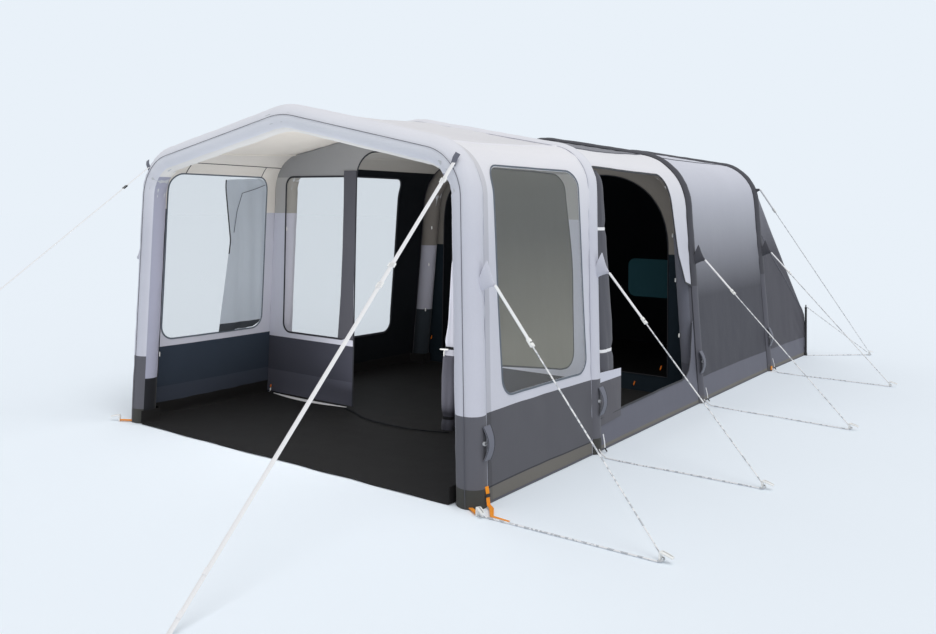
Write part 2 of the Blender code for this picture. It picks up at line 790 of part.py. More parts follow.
def add_air_tube(number, arch):
    """An air tube inside its sleeve, hollow, with a valve neck out through the right leg."""
    width, depth = (size - 2 * (SLEEVE_WALL + CLEARANCE) for size in (SLEEVE_WIDTH, SLEEVE_DEPTH))
    lead = SLEEVE_WALL + CLEARANCE
    outer = [(across, down + lead) for across, down in section(TUBE_SIDES, width, depth, False)]
    bore = section(TUBE_SIDES, width - 2 * TUBE_WALL, depth - 2 * TUBE_WALL, False)
    inner = [(across, down + lead + TUBE_WALL) for across, down in bore]
    tube = add_loft(f"air_tube_{number}", arch_rings(arch, outer, TUBE_LIFT), tube_film(), math.radians(50))
    hollow = add_loft(f"air_{number}", arch_rings(arch, inner, TUBE_LIFT + TUBE_WALL), None)
    flat = min(down for _, down in outer)
    root, _, out = leg_frame(arch, VALVE_HEIGHT)
    neck_start = root - out * (flat + TUBE_WALL / 2)
    neck = add_rod(f"valve_neck_{number}", neck_start, root + out * VALVE_REACH, VALVE_NECK, ROUND_SIDES)
    bore_tool = add_rod(
        f"valve_bore_{number}", root - out * SLEEVE_DEPTH / 2, root + out * OVERRUN, VALVE_BORE, ROUND_SIDES
    )
    combine(tube, neck, "UNION")
    combine(tube, hollow, "DIFFERENCE")
    combine(tube, bore_tool, "DIFFERENCE")


def add_valve_flap(number, arch, aside):
    """A bowed cover flap over a valve, its origin on the top edge it lifts about."""
    root, down, out = leg_frame(arch, FLAP_TOP)
    steps = [step / FLAP_STEPS for step in range(FLAP_STEPS + 1)]
    bow = [CLEARANCE + FLAP_BULGE * math.sin(math.pi * share) for share in steps]
    under = [root + down * FLAP_LENGTH * share + out * lift for share, lift in zip(steps, bow)]
    over = [point + out * FLAP_THICKNESS for point in reversed(under)]
    outline = [(point.x, point.z) for point in under + over]
    low = arch.y + aside - FLAP_WIDTH / 2
    flap = add_prism(f"valve_flap_{number}", outline, "y", low, low + FLAP_WIDTH, door_fabric())
    seam = root + out * (CLEARANCE + FLAP_THICKNESS)
    put_origin(flap, (seam.x, arch.y + aside, seam.z))


def window_outline(front, rear, low, high, inset=0.0):
    return rounded_rectangle(
        front - MIDDLE + inset, rear - MIDDLE - inset, low + inset, high - inset, WINDOW_CORNER - inset
    )


def add_window_wall(name, bay, side, size, look):
    """A side wall with a window cut in it, and the clear pane that fills the window."""
    places = RIGHT_WALL if side == RIGHT else LEFT_WALL
    wall = add_bay_sheet(f"wall_{name}", bay, places, look)
    combine(wall, add_side_prism(f"window_{name}", window_outline(*size), side), "DIFFERENCE")
    pane = add_bay_sheet(f"pane_{name}", bay, places, pane_film())
    combine(pane, add_side_prism(f"pane_edge_{name}", window_outline(*size, CLEARANCE), side), "INTERSECT")


def add_walls():
    add_window_wall("right_porch", PORCH, RIGHT, PORCH_RIGHT_WINDOW, light_fabric())
    add_window_wall("left_porch", PORCH, LEFT, PORCH_LEFT_WINDOW, light_fabric())
    add_window_wall("left_living", LIVING, LEFT, LIVING_WINDOW, dark_fabric())


def add_roofs():
    add_bay_sheet("roof_porch", PORCH, ROOF, light_fabric())
    add_bay_sheet("roof_living", LIVING, ROOF, dark_fabric())
    add_bay_sheet("bedroom_cover", BEDROOM, (0, LAST_STATION), dark_fabric())


def add_side_door_surround():
    """The sill under the side door, and the strip over it that runs down beside the third arch."""
    start, end = sheet_span(PORCH_ARCH, LIVING_ARCH)
    front, rear = start - OVERRUN, end + OVERRUN
    sill = add_bay_sheet("door_sill", LIVING, RIGHT_WALL, dark_fabric())
    top = LIVING_ARCH.apex
    above = [(front, DOOR_SILL_HEIGHT), (rear, DOOR_SILL_HEIGHT), (rear, top), (front, top)]
    combine(sill, add_side_prism("above_sill", above, RIGHT), "DIFFERENCE")
    header = add_bay_sheet("door_header", LIVING, RIGHT_WALL, light_fabric())
    strip = end - DOOR_STRIP_WIDTH
    centre_y, centre_z = strip - DOOR_CORNER, DOOR_HEAD_HEIGHT - DOOR_CORNER
    corner = [
        (centre_y + DOOR_CORNER * math.cos(turn), centre_z + DOOR_CORNER * math.sin(turn))
        for turn in (math.pi / 2 * step / CORNER_STEPS for step in range(CORNER_STEPS + 1))
    ]
    outline = [
        (front, -OVERRUN),
        (rear, -OVERRUN),
        (rear, DOOR_STRIP_END - DOOR_STRIP_SLANT),
        (end, DOOR_STRIP_END - DOOR_STRIP_SLANT),
        (strip, DOOR_STRIP_END),
        *corner,
        (front, DOOR_HEAD_HEIGHT),
    ]
    combine(header, add_side_prism("door_cut", outline, RIGHT), "DIFFERENCE")


def add_rear_cover():
    """The cover behind the last arch: its roof and sides slope down to a low upright end."""
    stations = list(range(LAST_STATION + 1))
    outer = sheet_rows(REAR, stations, SHEET_DEPTH)
    inner = sheet_rows(REAR, stations, SHEET_INNER, end_inset=SHEET)
    add_sheet("rear_cover", outer, inner, dark_fabric(), capped=True)


def rear_pole_place(side):
    y, eaves = REAR_EDGE.y - POLE_INSET, REAR_EDGE.corner_height - REAR_EDGE.shoulder
    wall = max(wall_x(REAR, y, height, SHEET_DEPTH) for height in (0, eaves))
    return side * (wall + POLE_FERRULE + CLEARANCE), y


def add_rear_poles():
    turned = [
        (POLE_FERRULE, 0),
        (POLE_FERRULE, POLE_FERRULE_HEIGHT),
        (POLE_RADIUS, POLE_FERRULE_HEIGHT + POLE_TAPER),
        (POLE_RADIUS, POLE_HEIGHT),
        (POLE_TIP, POLE_HEIGHT + POLE_TAPER),
        (POLE_TIP, POLE_HEIGHT + POLE_TIP_HEIGHT),
    ]
    for side, word in ((RIGHT, "right"), (LEFT, "left")):
        rings = []
        for radius, height in turned:
            rings.append([(x, y, height) for x, y, _ in circle_points(radius, ROUND_SIDES)])
        pole = add_loft(f"rear_pole_{word}", rings, black_plastic(), math.radians(35))
        pole.location = (*rear_pole_place(side), 0)


def partition_back():
    """The partition's front face along Y: it hangs against the front of the second sleeve."""
    return PORCH_ARCH.y - SLEEVE_WIDTH / 2 - 2 * CLEARANCE - SHEET


def add_partition():
    """The wall between porch and living space, with its window, clear pane and doorway."""
    front, rear = partition_back(), partition_back() + SHEET
    line = sheet_line(PORCH, (front + rear) / 2, SHEET_INNER + 2 * CLEARANCE)
    outline = [(point.x, point.y) for point in raised(line, PARTITION_LIFT)]
    partition = add_prism("partition", outline, "y", front, rear, light_fabric())
    radius = PARTITION_WINDOW_CORNER
    left, right, low, high = PARTITION_WINDOW
    window = rounded_rectangle(left, right, low, high, radius)
    tool = add_prism("partition_window", window, "y", front - OVERRUN, rear + OVERRUN)
    combine(partition, tool, "DIFFERENCE")
    left, low = left + CLEARANCE, low + CLEARANCE
    right, high = right - CLEARANCE, high - CLEARANCE
    pane = rounded_rectangle(left, right, low, high, radius - CLEARANCE)
    add_prism("pane_partition", pane, "y", front, rear, pane_film())
    low = -2 * PARTITION_DOOR_CORNER
    door = rounded_rectangle(
        PARTITION_DOOR_LEFT, PARTITION_DOOR_RIGHT, low, PARTITION_DOOR_HEIGHT, PARTITION_DOOR_CORNER
    )
    tool = add_prism("partition_door", door, "y", front - OVERRUN, rear + OVERRUN)
    combine(partition, tool, "DIFFERENCE")


def inner_front_y():
    return LIVING_ARCH.y + SLEEVE_WIDTH / 2 + INNER_FRONT_GAP


def bedroom_door(side, far, power):
    """A doorway's outline: upright near the middle, with a wide curve at its outer top corner."""
    top, start = BEDROOM_DOOR_HIGH - BEDROOM_DOOR_CURVE, far - BEDROOM_DOOR_CURVE
    points = [(BEDROOM_DOOR_NEAR, BEDROOM_DOOR_LOW), (far, BEDROOM_DOOR_LOW)]
    for step in range(2 * CORNER_STEPS + 1):
        turn = math.pi / 2 * step / (2 * CORNER_STEPS)
        across, up = (BEDROOM_DOOR_CURVE * size ** (2 / power) for size in (math.cos(turn), math.sin(turn)))
        points.append((start + across, top + up))
    points.append((BEDROOM_DOOR_NEAR, BEDROOM_DOOR_HIGH))
    return [(side * across, up) for across, up in points]


def add_inner_front():
    front = inner_front_y()
    line = raised(arch_line(LIVING_ARCH, INNER_FRONT_DEPTH), CLEARANCE)
    outline = [(point.x, point.y) for point in line]
    panel = add_prism("inner_front", outline, "y", front, front + SHEET, inner_fabric())
    doors = (
        (RIGHT, BEDROOM_DOOR_FAR_RIGHT, BEDROOM_CURVE_RIGHT_SHARE, "right"),
        (LEFT, BEDROOM_DOOR_FAR_LEFT, BEDROOM_CURVE_LEFT_SHARE, "left"),
    )
    for side, far, power, word in doors:
        outline = bedroom_door(side, far, power)
        cut = add_prism(f"bedroom_door_{word}", outline, "y", front - OVERRUN, front + OVERRUN)
        combine(panel, cut, "DIFFERENCE")


def add_inner_shell():
    """The bedroom inside the cover: roof, sides, sloped end and floor in one, open to its front panel."""
    start = inner_front_y() + SHEET + CLEARANCE
    sections = ((LIVING_ARCH, start), (BEDROOM_ARCH, BEDROOM_ARCH.y), (INNER_REAR, INNER_REAR.y))
    outer, inner = [], []
    for arch, y in sections:
        lead = 0 if arch is INNER_REAR else INNER_DEPTH
        rear = SHEET if arch is INNER_REAR else 0
        outer.append([(point.x, y, point.y) for point in arch_line(arch, lead)])
        inner.append([(point.x, y - rear, point.y) for point in arch_line(arch, lead + SHEET, SHEET)])
    count = len(outer[0])
    inside = len(sections) * count
    faces = round_faces(len(sections), count)
    faces += [tuple(inside + corner for corner in face) for face in round_faces(len(sections), count)]
    for place in range(count):
        after = (place + 1) % count
        faces.append((place, after, inside + after, inside + place))
    last = inside - count
    faces.append(tuple(range(last, inside)))
    faces.append(tuple(range(inside + last, inside + inside)))
    points = [point for ring in outer + inner for point in ring]
    add_mesh("inner_shell", points, faces, inner_fabric(), math.radians(35))


def tray_ring(bay, y):
    """A groundsheet's section: its base on the ground and a lip up each wall."""
    outer = sheet_line(bay, y, SHEET_INNER + 2 * CLEARANCE)
    inner = sheet_line(bay, y, SHEET_INNER + 2 * CLEARANCE + GROUNDSHEET)
    thick = GROUNDSHEET / inner[1].y
    points = [outer[0], outer[1], inner[1], at_station(inner, thick)]
    points += [at_station(inner, LAST_STATION - thick), inner[-2], outer[-2], outer[-1]]
    return [(point.x, y, point.y) for point in points]


def add_groundsheet(name, bay, start, end, legs):
    places = [start] + [y for y in row_places(bay) if start < y < end] + [end]
    tray = add_loft(name, [tray_ring(bay, y) for y in places], floor_fabric())
    for arch in legs:
        line = arch_line(arch, SLEEVE_DEPTH)
        inner = at_station(line, LIP_HEIGHT / line[1].y).x - LEG_GAP
        reach = SLEEVE_WIDTH / 2 + LEG_GAP
        for side, word in ((RIGHT, "right"), (LEFT, "left")):
            near, far = sorted((side * inner, side * (arch.foot + OVERRUN)))
            ahead = OVERRUN if arch is FRONT_ARCH else reach
            low, high = arch.y - ahead, arch.y + reach
            outline = [(near, low), (far, low), (far, high), (near, high)]
            place = f"{name}_leg_{word}_{arch.back:.2f}"
            tool = add_prism(place, outline, "z", -OVERRUN, LIP_HEIGHT + OVERRUN)
            combine(tray, tool, "DIFFERENCE")


def add_groundsheets():
    front = FRONT_ARCH.y - SLEEVE_WIDTH / 2
    add_groundsheet("groundsheet_porch", PORCH, front, partition_back() - CLEARANCE, (FRONT_ARCH,))
    start = partition_back() + SHEET + CLEARANCE
    end = inner_front_y() - CLEARANCE
    add_groundsheet("groundsheet_living", LIVING, start, end, (PORCH_ARCH, LIVING_ARCH))


def add_blind():
    depth = SHEET_INNER + 2 * CLEARANCE
    blind = add_bay_sheet("blind_right_porch", PORCH, RIGHT_WALL, blind_fabric(), depth, BLIND)
    front, rear = BLIND_FRONT - MIDDLE, BLIND_REAR - MIDDLE
    outline = rounded_rectangle(front, rear, BLIND_LOW, BLIND_HIGH, WINDOW_CORNER)
    combine(blind, add_side_prism("blind_edge", outline, RIGHT), "INTERSECT")


def add_curtain():
    """A curtain gathered in folds across the rear half of the left porch window, wider at its foot."""
    folds = round((CURTAIN_REAR - CURTAIN_FRONT) / FOLD_WIDTH)
    rows, columns = SHEET_STEPS, folds * FOLD_POINTS
    faces_in, faces_out = [], []
    for row in range(rows + 1):
        height = CURTAIN_LOW + (CURTAIN_HIGH - CURTAIN_LOW) * row / rows
        front = CURTAIN_FRONT - CURTAIN_FLARE * (1 - row / rows)
        wall, room = [], []
        for column in range(columns + 1):
            share = column / columns
            y = front + (CURTAIN_REAR - front) * share - MIDDLE
            fold = FOLD_DEPTH * (1 - math.cos(2 * math.pi * folds * share)) / 2
            depth = SHEET_INNER + CURTAIN_GAP + fold
            wall.append((-wall_x(PORCH, y, height, depth), y, height))
            room.append((-wall_x(PORCH, y, height, depth + CURTAIN), y, height))
        faces_out.append(wall)
        faces_in.append(room)
    add_sheet("curtain_left_porch", faces_out, faces_in, blind_fabric())


def add_bundle(name, places, look):
    """Rolled cloth standing on end: gathered rings from (x, y, height, half x, half y) places."""
    rings = []
    for x, y, height, half_x, half_y in places:
        ring = []
        for side in range(BUNDLE_SIDES):
            turn = 2 * math.pi * side / BUNDLE_SIDES
            size = 1 - FOLD_SHARE * ((side + 1) % 2)
            ring.append((x + half_x * size * math.cos(turn), y + half_y * size * math.sin(turn), height))
        rings.append(ring)
    return add_loft(name, rings, look, math.radians(50))


def roll_places(x_at, y, low, high, half_x, half_y):
    """A roll's rings from bottom to top, drawn in where its ties are."""
    places = []
    for share, swell in zip(ROLL_HEIGHT_SHARES, ROLL_FULL_SHARES):
        height = low + (high - low) * share
        places.append((x_at(height), y, height, half_x * swell, half_y * swell))
    return places


def add_rolls():
    """The side door rolled up beside the second arch, and the partition's door beside its doorway."""
    y = PORCH_ARCH.y + SLEEVE_WIDTH / 2 + DOOR_ROLL_HALF_Y + CLEARANCE

    def in_wall(height):
        return wall_x(LIVING, y, height, DOOR_ROLL_DEPTH)

    low = DOOR_SILL_HEIGHT + CLEARANCE
    places = roll_places(in_wall, y, low, DOOR_ROLL_HIGH, DOOR_ROLL_HALF_X, DOOR_ROLL_HALF_Y)
    add_bundle("door_roll", places, door_fabric())
    beside = partition_back() - CLEARANCE - PARTITION_ROLL_HALF_Y
    places = roll_places(
        lambda height: PARTITION_ROLL_X + PARTITION_ROLL_LEAN * height / PARTITION_ROLL_HIGH,
        beside,
        GROUNDSHEET + CLEARANCE,
        PARTITION_ROLL_HIGH,
        PARTITION_ROLL_HALF_X,
        PARTITION_ROLL_HALF_Y,
    )
    add_bundle("partition_roll", places, door_fabric())


def left_leg_point(height, down):
    line = arch_line(FRONT_ARCH, down)
    point = at_station(line, len(line) - 1 - height / line[1].y)
    return Vector((point.x, 0, point.y))


def add_zip():
    """The zip's tape up the back of the front left leg, and a slider that grips its edges."""
    face = FRONT_ARCH.y + SLEEVE_WIDTH / 2 + CLEARANCE
    near, far = ZIP_DEPTH - ZIP_WIDTH / 2, ZIP_DEPTH + ZIP_WIDTH / 2
    corners = ((ZIP_LOW, near), (ZIP_LOW, far), (ZIP_HIGH, far), (ZIP_HIGH, near))
    outline = [(point.x, point.z) for point in (left_leg_point(*corner) for corner in corners)]
    add_prism("zip_tape", outline, "y", face, face + ZIP_THICKNESS, black_plastic())
    up = (left_leg_point(ZIP_HIGH, ZIP_DEPTH) - left_leg_point(ZIP_LOW, ZIP_DEPTH)).normalized()
    out = Vector((up.z, 0, -up.x))
    centre = left_leg_point(SLIDER_AT, ZIP_DEPTH)
    half, gap = ZIP_WIDTH / 2, 2 * CLEARANCE
    inner, outer = half + gap, half + gap + SLIDER_WALL
    back, cover = face + ZIP_THICKNESS + gap, face + ZIP_THICKNESS + gap + SLIDER_WALL
    low = face + CLEARANCE
    hook = [
        (-outer, low),
        (-inner, low),
        (-inner, back),
        (inner, back),
        (inner, low),
        (outer, low),
        (outer, cover),
        (-outer, cover),
    ]
    rings = []
    for rise in (-SLIDER_HEIGHT / 2, SLIDER_HEIGHT / 2):
        ring = []
        for across, y in hook:
            point = centre + out * across + up * rise
            ring.append((point.x, y, point.z))
        rings.append(ring)
    slider = add_loft("zip_slider", rings, white_plastic())
    put_origin(slider, (centre.x, face, centre.z))


def smooth_route(points, steps):
    """Points along a smooth curve through a route's own points; short gaps get more of them."""
    route = [Vector(point) for point in points]
    ends = [2 * route[0] - route[1]] + route + [2 * route[-1] - route[-2]]
    curve = []
    for place in range(1, len(ends) - 2):
        before, start, end, after = ends[place - 1 : place + 3]
        length = (end - start).length
        first = (end - before) * length / ((start - before).length + length)
        last = (after - start) * length / ((after - end).length + length)
        count = steps if length < BEND_REACH else 1
        for step in range(count):
            share = step / count
            square, cube = share * share, share * share * share
            curve.append(
                start * (2 * cube - 3 * square + 1)
                + first * (cube - 2 * square + share)
                + end * (3 * square - 2 * cube)
                + last * (cube - square)
            )
    return curve + [route[-1]]


def add_rope(name, points):
    curve = bpy.data.curves.new(name, "CURVE")
    curve.dimensions = "3D"
    curve.bevel_depth = ROPE_RADIUS
    curve.bevel_resolution = 2
    curve.use_fill_caps = True
    spline = curve.splines.new("POLY")
    spline.points.add(len(points) - 1)
    for place, point in zip(spline.points, points):
        place.co = (*point, 1)
    rope = bpy.data.objects.new(name, curve)
    bpy.context.collection.objects.link(rope)
    curve.materials.append(webbing())
    return rope


def ground_place(name, height=0.0):
    x, back = PEG_PLACES[name]
    return Vector((x, back - MIDDLE - FRONT_ARCH.back, height))


def peg_loop(peg, start, back, height):
    """A rope's bend round a peg's neck: in on one side, round the far side, and out on the other."""
    centre = ground_place(peg)
    away = Vector((centre.x - start[0], centre.y - start[1], 0)).normalized()
    aside = Vector((-away.y, away.x, 0))
    if aside.dot(Vector(back) - centre) > 0:
        aside.negate()
    points = []
    for step in range(LOOP_STEPS + 1):
        share = step / LOOP_STEPS
        angle = math.pi * share
        spot = centre + away * ROPE_LOOP * math.sin(angle) + aside * ROPE_LOOP * math.cos(angle)
        points.append(spot + Vector((0, 0, height + (ROPE_GROUND - height) * share)))
    return points


def guy_route(start, peg, end_points, height):
    """From a tab straight to its peg, round the peg, and back over the ground."""
    start, back = Vector(start), Vector(end_points[0])
    loop = peg_loop(peg, start, back, height)
    approach = loop[0] + (start - loop[0]).normalized() * ROPE_APPROACH
    leave = loop[-1] + (back - loop[-1]).normalized() * ROPE_APPROACH
    leave.z = ROPE_GROUND
    return [start, start.lerp(approach, 0.5), approach, *loop, leave, leave.lerp(back, 0.5), *end_points]


def rope_seat(face, out, target):
    """Where a rope starts so that its end just clears a face, on its way to a target."""
    along = (Vector(target) - face).normalized()
    return face + out * (ROPE_RADIUS * math.sqrt(1 - along.dot(out) ** 2) + CLEARANCE)


def tab_end(arch, peg):
    """Where a guy starts, just clear of its tab's tip."""
    root, _, out = leg_frame(arch, TAB_HEIGHT)
    return rope_seat(root + out * TAB_REACH, out, ground_place(peg))


def add_peg(name, direction):
    """A peg's neck and hooked head above the ground; the head points away from the tent."""
    outline = [
        (-PEG_NECK / 2, PEG_RISE),
        (-PEG_NECK / 2, 0),
        (PEG_NECK / 2, 0),
        (PEG_NECK / 2, PEG_RISE),
        (PEG_HEAD, PEG_RISE - PEG_DROP),
        (PEG_HEAD + PEG_HEAD_DEPTH / 2, PEG_RISE - PEG_DROP + PEG_HEAD_DEPTH / 2),
        (PEG_NECK / 2, PEG_RISE + PEG_HEAD_DEPTH),
        (-PEG_NECK / 2 - PEG_HEEL, PEG_RISE + PEG_HEAD_DEPTH / 2),
    ]
    peg = add_prism(name, outline, "y", -PEG_WIDTH / 2, PEG_WIDTH / 2, steel())
    peg.location = ground_place(name)
    peg.rotation_euler = (0, 0, math.atan2(direction.y, direction.x))


def add_collar(name, start, end, share, outer, inner, length, look):
    """A piece threaded on a straight rope or strap, with its origin on the rope."""
    start, end = Vector(start), Vector(end)
    along = (end - start).normalized()
    level = along.cross(Vector((0, 0, 1))).normalized()
    upright = level.cross(along)
    centre = start.lerp(end, share)
    sides = []
    for outline in (outer, inner):
        ring = [centre + level * across + upright * up for across, up in outline]
        sides.append([[point + along * shift for point in ring] for shift in (-length / 2, length / 2)])
    collar = add_pipe(name, *sides, look)
    put_origin(collar, centre)


def add_tensioner(number, start, end, share):
    half_width, half_thickness = TENSIONER_WIDTH / 2, TENSIONER_THICKNESS / 2
    outer = [(across * half_width, up * half_thickness) for across, up in TENSIONER_OUTLINE_SHARES]
    radius = (ROPE_RADIUS + TENSIONER_GAP) / math.cos(math.pi / len(outer))
    turns = [math.atan2(up, across) for across, up in outer]
    inner = [(radius * math.cos(turn), radius * math.sin(turn)) for turn in turns]
    add_collar(f"tensioner_{number}", start, end, share, outer, inner, TENSIONER_LENGTH, black_plastic())


def foot_end(arch):
    """A ground line's last points: over the ground beside the leg, then up against it."""
    beside = Vector((arch.foot + TAB_REACH, arch.y - TAB_REACH, ROPE_GROUND))
    root, _, out = leg_frame(arch, TUBE_LIFT)
    return [beside, rope_seat(root - Vector((0, FLAP_ASIDE, 0)), out, beside)]


def add_guys():
    """The side guys of the four arches with their tensioners and pegs."""
    for number, arch in enumerate(ARCHES, 1):
        name, peg = f"guy_{number}", f"peg_{number}"
        if arch is FRONT_ARCH:
            away = foot_loop_way(RIGHT)
            neck = ground_place("peg_front_right", ROPE_GROUND) + away * PEG_NECK / 2
            ends = [rope_seat(neck, away, ground_place(peg))]
        else:
            ends = foot_end(arch)
        start = tab_end(arch, peg)
        route = guy_route(start, peg, ends, LOOP_HEIGHT)
        add_rope(name, smooth_route(route, BEND_STEPS))
        add_tensioner(number, route[0], route[2], TENSIONER_SHARES[name])
        add_peg(peg, ground_place(peg) - Vector((start.x, start.y, 0)))
    add_peg("peg_front_right", foot_loop_way(RIGHT))
    add_peg("peg_front_left", foot_loop_way(LEFT))


def add_rear_guys():
    """The rear guy from the last arch's shoulder, and the corner guy from the rear pole, to one peg."""
    root, along = shoulder_root(BEDROOM_ARCH)
    out = Vector((along.z, 0, -along.x))
    start = rope_seat(root + out * SHOULDER_TAB_REACH, out, ground_place("peg_rear"))
    pole_x, pole_y = rear_pole_place(RIGHT)
    beside = Vector((pole_x + TAB_REACH, pole_y + TAB_REACH / 2, ROPE_GROUND))
    foot = rope_seat(Vector((pole_x + POLE_FERRULE, pole_y, ROPE_GROUND)), Vector((1, 0, 0)), beside)
    route = guy_route(start, "peg_rear", [beside, foot], REAR_LOOP_HEIGHT)
    add_rope("rear_guy", smooth_route(route, BEND_STEPS))
    peg = ground_place("peg_rear")
    top = rope_seat(Vector((pole_x + POLE_RADIUS, pole_y, POLE_HEIGHT)), Vector((1, 0, 0)), peg)
    away = Vector((peg.x - top.x, peg.y - top.y, 0)).normalized()
    end = peg - away * (PEG_WIDTH + ROPE_RADIUS) + Vector((0, 0, PEG_RISE))
    add_rope("corner_guy", [top, top.lerp(end, 0.5), end])
    add_peg("peg_rear", ground_place("peg_rear") - Vector((start.x, start.y, 0)))


def strap_ends(top, end):
    """A storm strap's two ends in the tent's frame, from places given against the front arch."""
    x, ahead = end
    return Vector(top) - Vector((0, MIDDLE, 0)), Vector((x, ahead - MIDDLE, RING_WIRE))


def add_storm_strap(word, top, end):
    """Flat webbing from a front shoulder to the ground, with a ring sewn in at its foot."""
    start, finish = strap_ends(top, end)
    along = (finish - start).normalized()
    level = along.cross(Vector((0, 0, 1))).normalized()
    upright = level.cross(along)
    corners = [(across * STRAP_WIDTH / 2, up * STRAP / 2) for across, up in SQUARE]
    rings = []
    for centre in (start, start.lerp(finish, 0.5), finish):
        rings.append([centre + level * across + upright * up for across, up in corners])
    add_loft(f"storm_strap_{word}", rings, webbing())
    flat = Vector((along.x, along.y, 0)).normalized()
    reach = max(point.dot(flat) for point in rings[-1]) - finish.dot(flat)
    centre = finish + flat * (reach + RING_RADIUS + RING_WIRE + CLEARANCE)
    bpy.ops.mesh.primitive_torus_add(
        major_radius=RING_RADIUS,
        minor_radius=RING_WIRE,
        major_segments=ROUND_SIDES,
        minor_segments=TUBE_SIDES,
        location=(centre.x, centre.y, RING_WIRE),
        rotation=(0, 0, math.atan2(flat.y, flat.x)),
    )
    ring = bpy.context.object
    ring.name = f"strap_ring_{word}"
    ring.data.materials.append(steel())


def add_storm_straps():
    add_storm_strap("right", RIGHT_STRAP_TOP, RIGHT_STRAP_END)
    add_storm_strap("left", LEFT_STRAP_TOP, LEFT_STRAP_END)
    start, end = strap_ends(RIGHT_STRAP_TOP, RIGHT_STRAP_END)
    outer = [(across * BUCKLE_WIDTH / 2, up * BUCKLE_THICKNESS / 2) for across, up in SQUARE]
    slot_x, slot_y = STRAP_WIDTH / 2 + BUCKLE_GAP, STRAP / 2 + BUCKLE_GAP
    inner = [(across * slot_x, up * slot_y) for across, up in SQUARE]
    add_collar("storm_buckle", start, end, BUCKLE_SHARE, outer, inner, BUCKLE_LENGTH, white_plastic())


def build():
    clear_scene()
    for number, (arch, aside) in enumerate(zip(ARCHES, (FLAP_ASIDE, FLAP_ASIDE, -FLAP_ASIDE, 0)), 1):
        add_sleeve(number, arch)
        add_air_tube(number, arch)
        add_valve_flap(number, arch, aside)
    add_roofs()
    add_walls()
    add_side_door_surround()
    add_rear_cover()
    add_rear_poles()
    add_partition()
    add_inner_front()
    add_inner_shell()
    add_groundsheets()
    add_blind()
    add_curtain()
    add_rolls()
    add_zip()
    add_guys()
    add_rear_guys()
    add_storm_straps()


build()
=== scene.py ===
"""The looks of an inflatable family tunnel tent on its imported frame: cloth, clear film, webbing and ropes.

Lengths are in metres in the CAD's own frame, colours are 0 to 255, and the picture is 936 x 634 pixels.
"""

import math

import bpy
import numpy as np
from mathutils import Matrix, Vector
from mathutils.geometry import delaunay_2d_cdt


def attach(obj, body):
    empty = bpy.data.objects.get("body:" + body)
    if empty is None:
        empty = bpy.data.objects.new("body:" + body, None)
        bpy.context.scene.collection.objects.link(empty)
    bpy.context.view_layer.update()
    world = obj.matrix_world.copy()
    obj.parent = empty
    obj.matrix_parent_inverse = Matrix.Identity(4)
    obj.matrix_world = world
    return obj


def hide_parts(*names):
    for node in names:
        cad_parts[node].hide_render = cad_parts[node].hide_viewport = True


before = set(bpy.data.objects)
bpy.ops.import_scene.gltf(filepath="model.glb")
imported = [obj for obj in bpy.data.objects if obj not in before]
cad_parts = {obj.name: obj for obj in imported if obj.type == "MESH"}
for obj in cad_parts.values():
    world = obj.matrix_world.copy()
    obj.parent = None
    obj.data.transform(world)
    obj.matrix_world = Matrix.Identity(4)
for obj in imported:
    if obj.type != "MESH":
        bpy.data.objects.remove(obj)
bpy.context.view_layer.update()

# Camera, as solved from the photograph
PHOTO_WIDTH, PHOTO_HEIGHT = 936, 634
FOCAL_PIXELS = 871.44
PRINCIPAL = (469.6, 179.1)
CAMERA_PLACE = (3.898, -6.5048, 1.483)
YAW, PITCH, ROLL = -0.619, 0.033, 0.015
SENSOR = 36.0
BACKGROUND = (233, 241, 249)

# Light: a soft sun, an even world, and small fill lamps under the two open roofs
SUN_FROM = (0.55, -0.35, 1.0)
SUN_STRENGTH, SUN_SPREAD = 1.25, 35
WORLD_STRENGTH = 0.62
FILLS = (("porch_fill", "POINT", (0.0, -2.30, 1.10), 15.0, 0.40),
         ("porch_up_fill", "AREA", (0.0, -2.30, 0.12), 10.0, 1.2, 0.8),
         ("living_fill", "POINT", (0.15, -0.75, 1.15), 10.0, 0.35),
         ("living_up_fill", "AREA", (0.0, -0.80, 0.12), 5.0, 1.2, 1.0))
FLOOR_HALF = 90.0
FLOOR_LIT = 0.955  # what the lit floor shows of its own colour

# The part's own sizes, as its source gives them
MIDDLE = 2.8988
RIDGE_ROUND = 0.550
SLEEVE_HALF, SLEEVE_DEPTH = 0.075, 0.165
SHEET_DEPTH = 0.025
FIT_ASIDE = 0.060
TUCK = 0.014
WINDOW_ROUND = 0.090
PANE_DEPTH = SHEET_DEPTH + 0.0008
BLIND_DEPTH = SHEET_DEPTH + 0.0040
# How deep a sleeve's outer cloth reaches, and how far back round the front one its inner cloth starts
OUTER_CLOTH_DEPTH, FACE_BACK = 0.045, -0.74
SLEEVE_SIDES = 28
PIPING_ASIDE, PIPING_DOWN = 0.0565, 0.0245
ROPE_RADIUS = 0.004
STRAP_WIDTH, STRAP_THICKNESS = 0.025, 0.0025
PARTITION_FRONT = -1.7484
INNER_FRONT = 0.1962

# Fine stations on an arch's line: leg, shoulder, slope and ridge, about 25 mm apart
LEG, SHOULDER, SLOPE, RIDGE = 60, 18, 44, 4
STEP = 0.025
TOP = LEG + SHOULDER
CREST = TOP + SLOPE + RIDGE
LAST = 2 * CREST

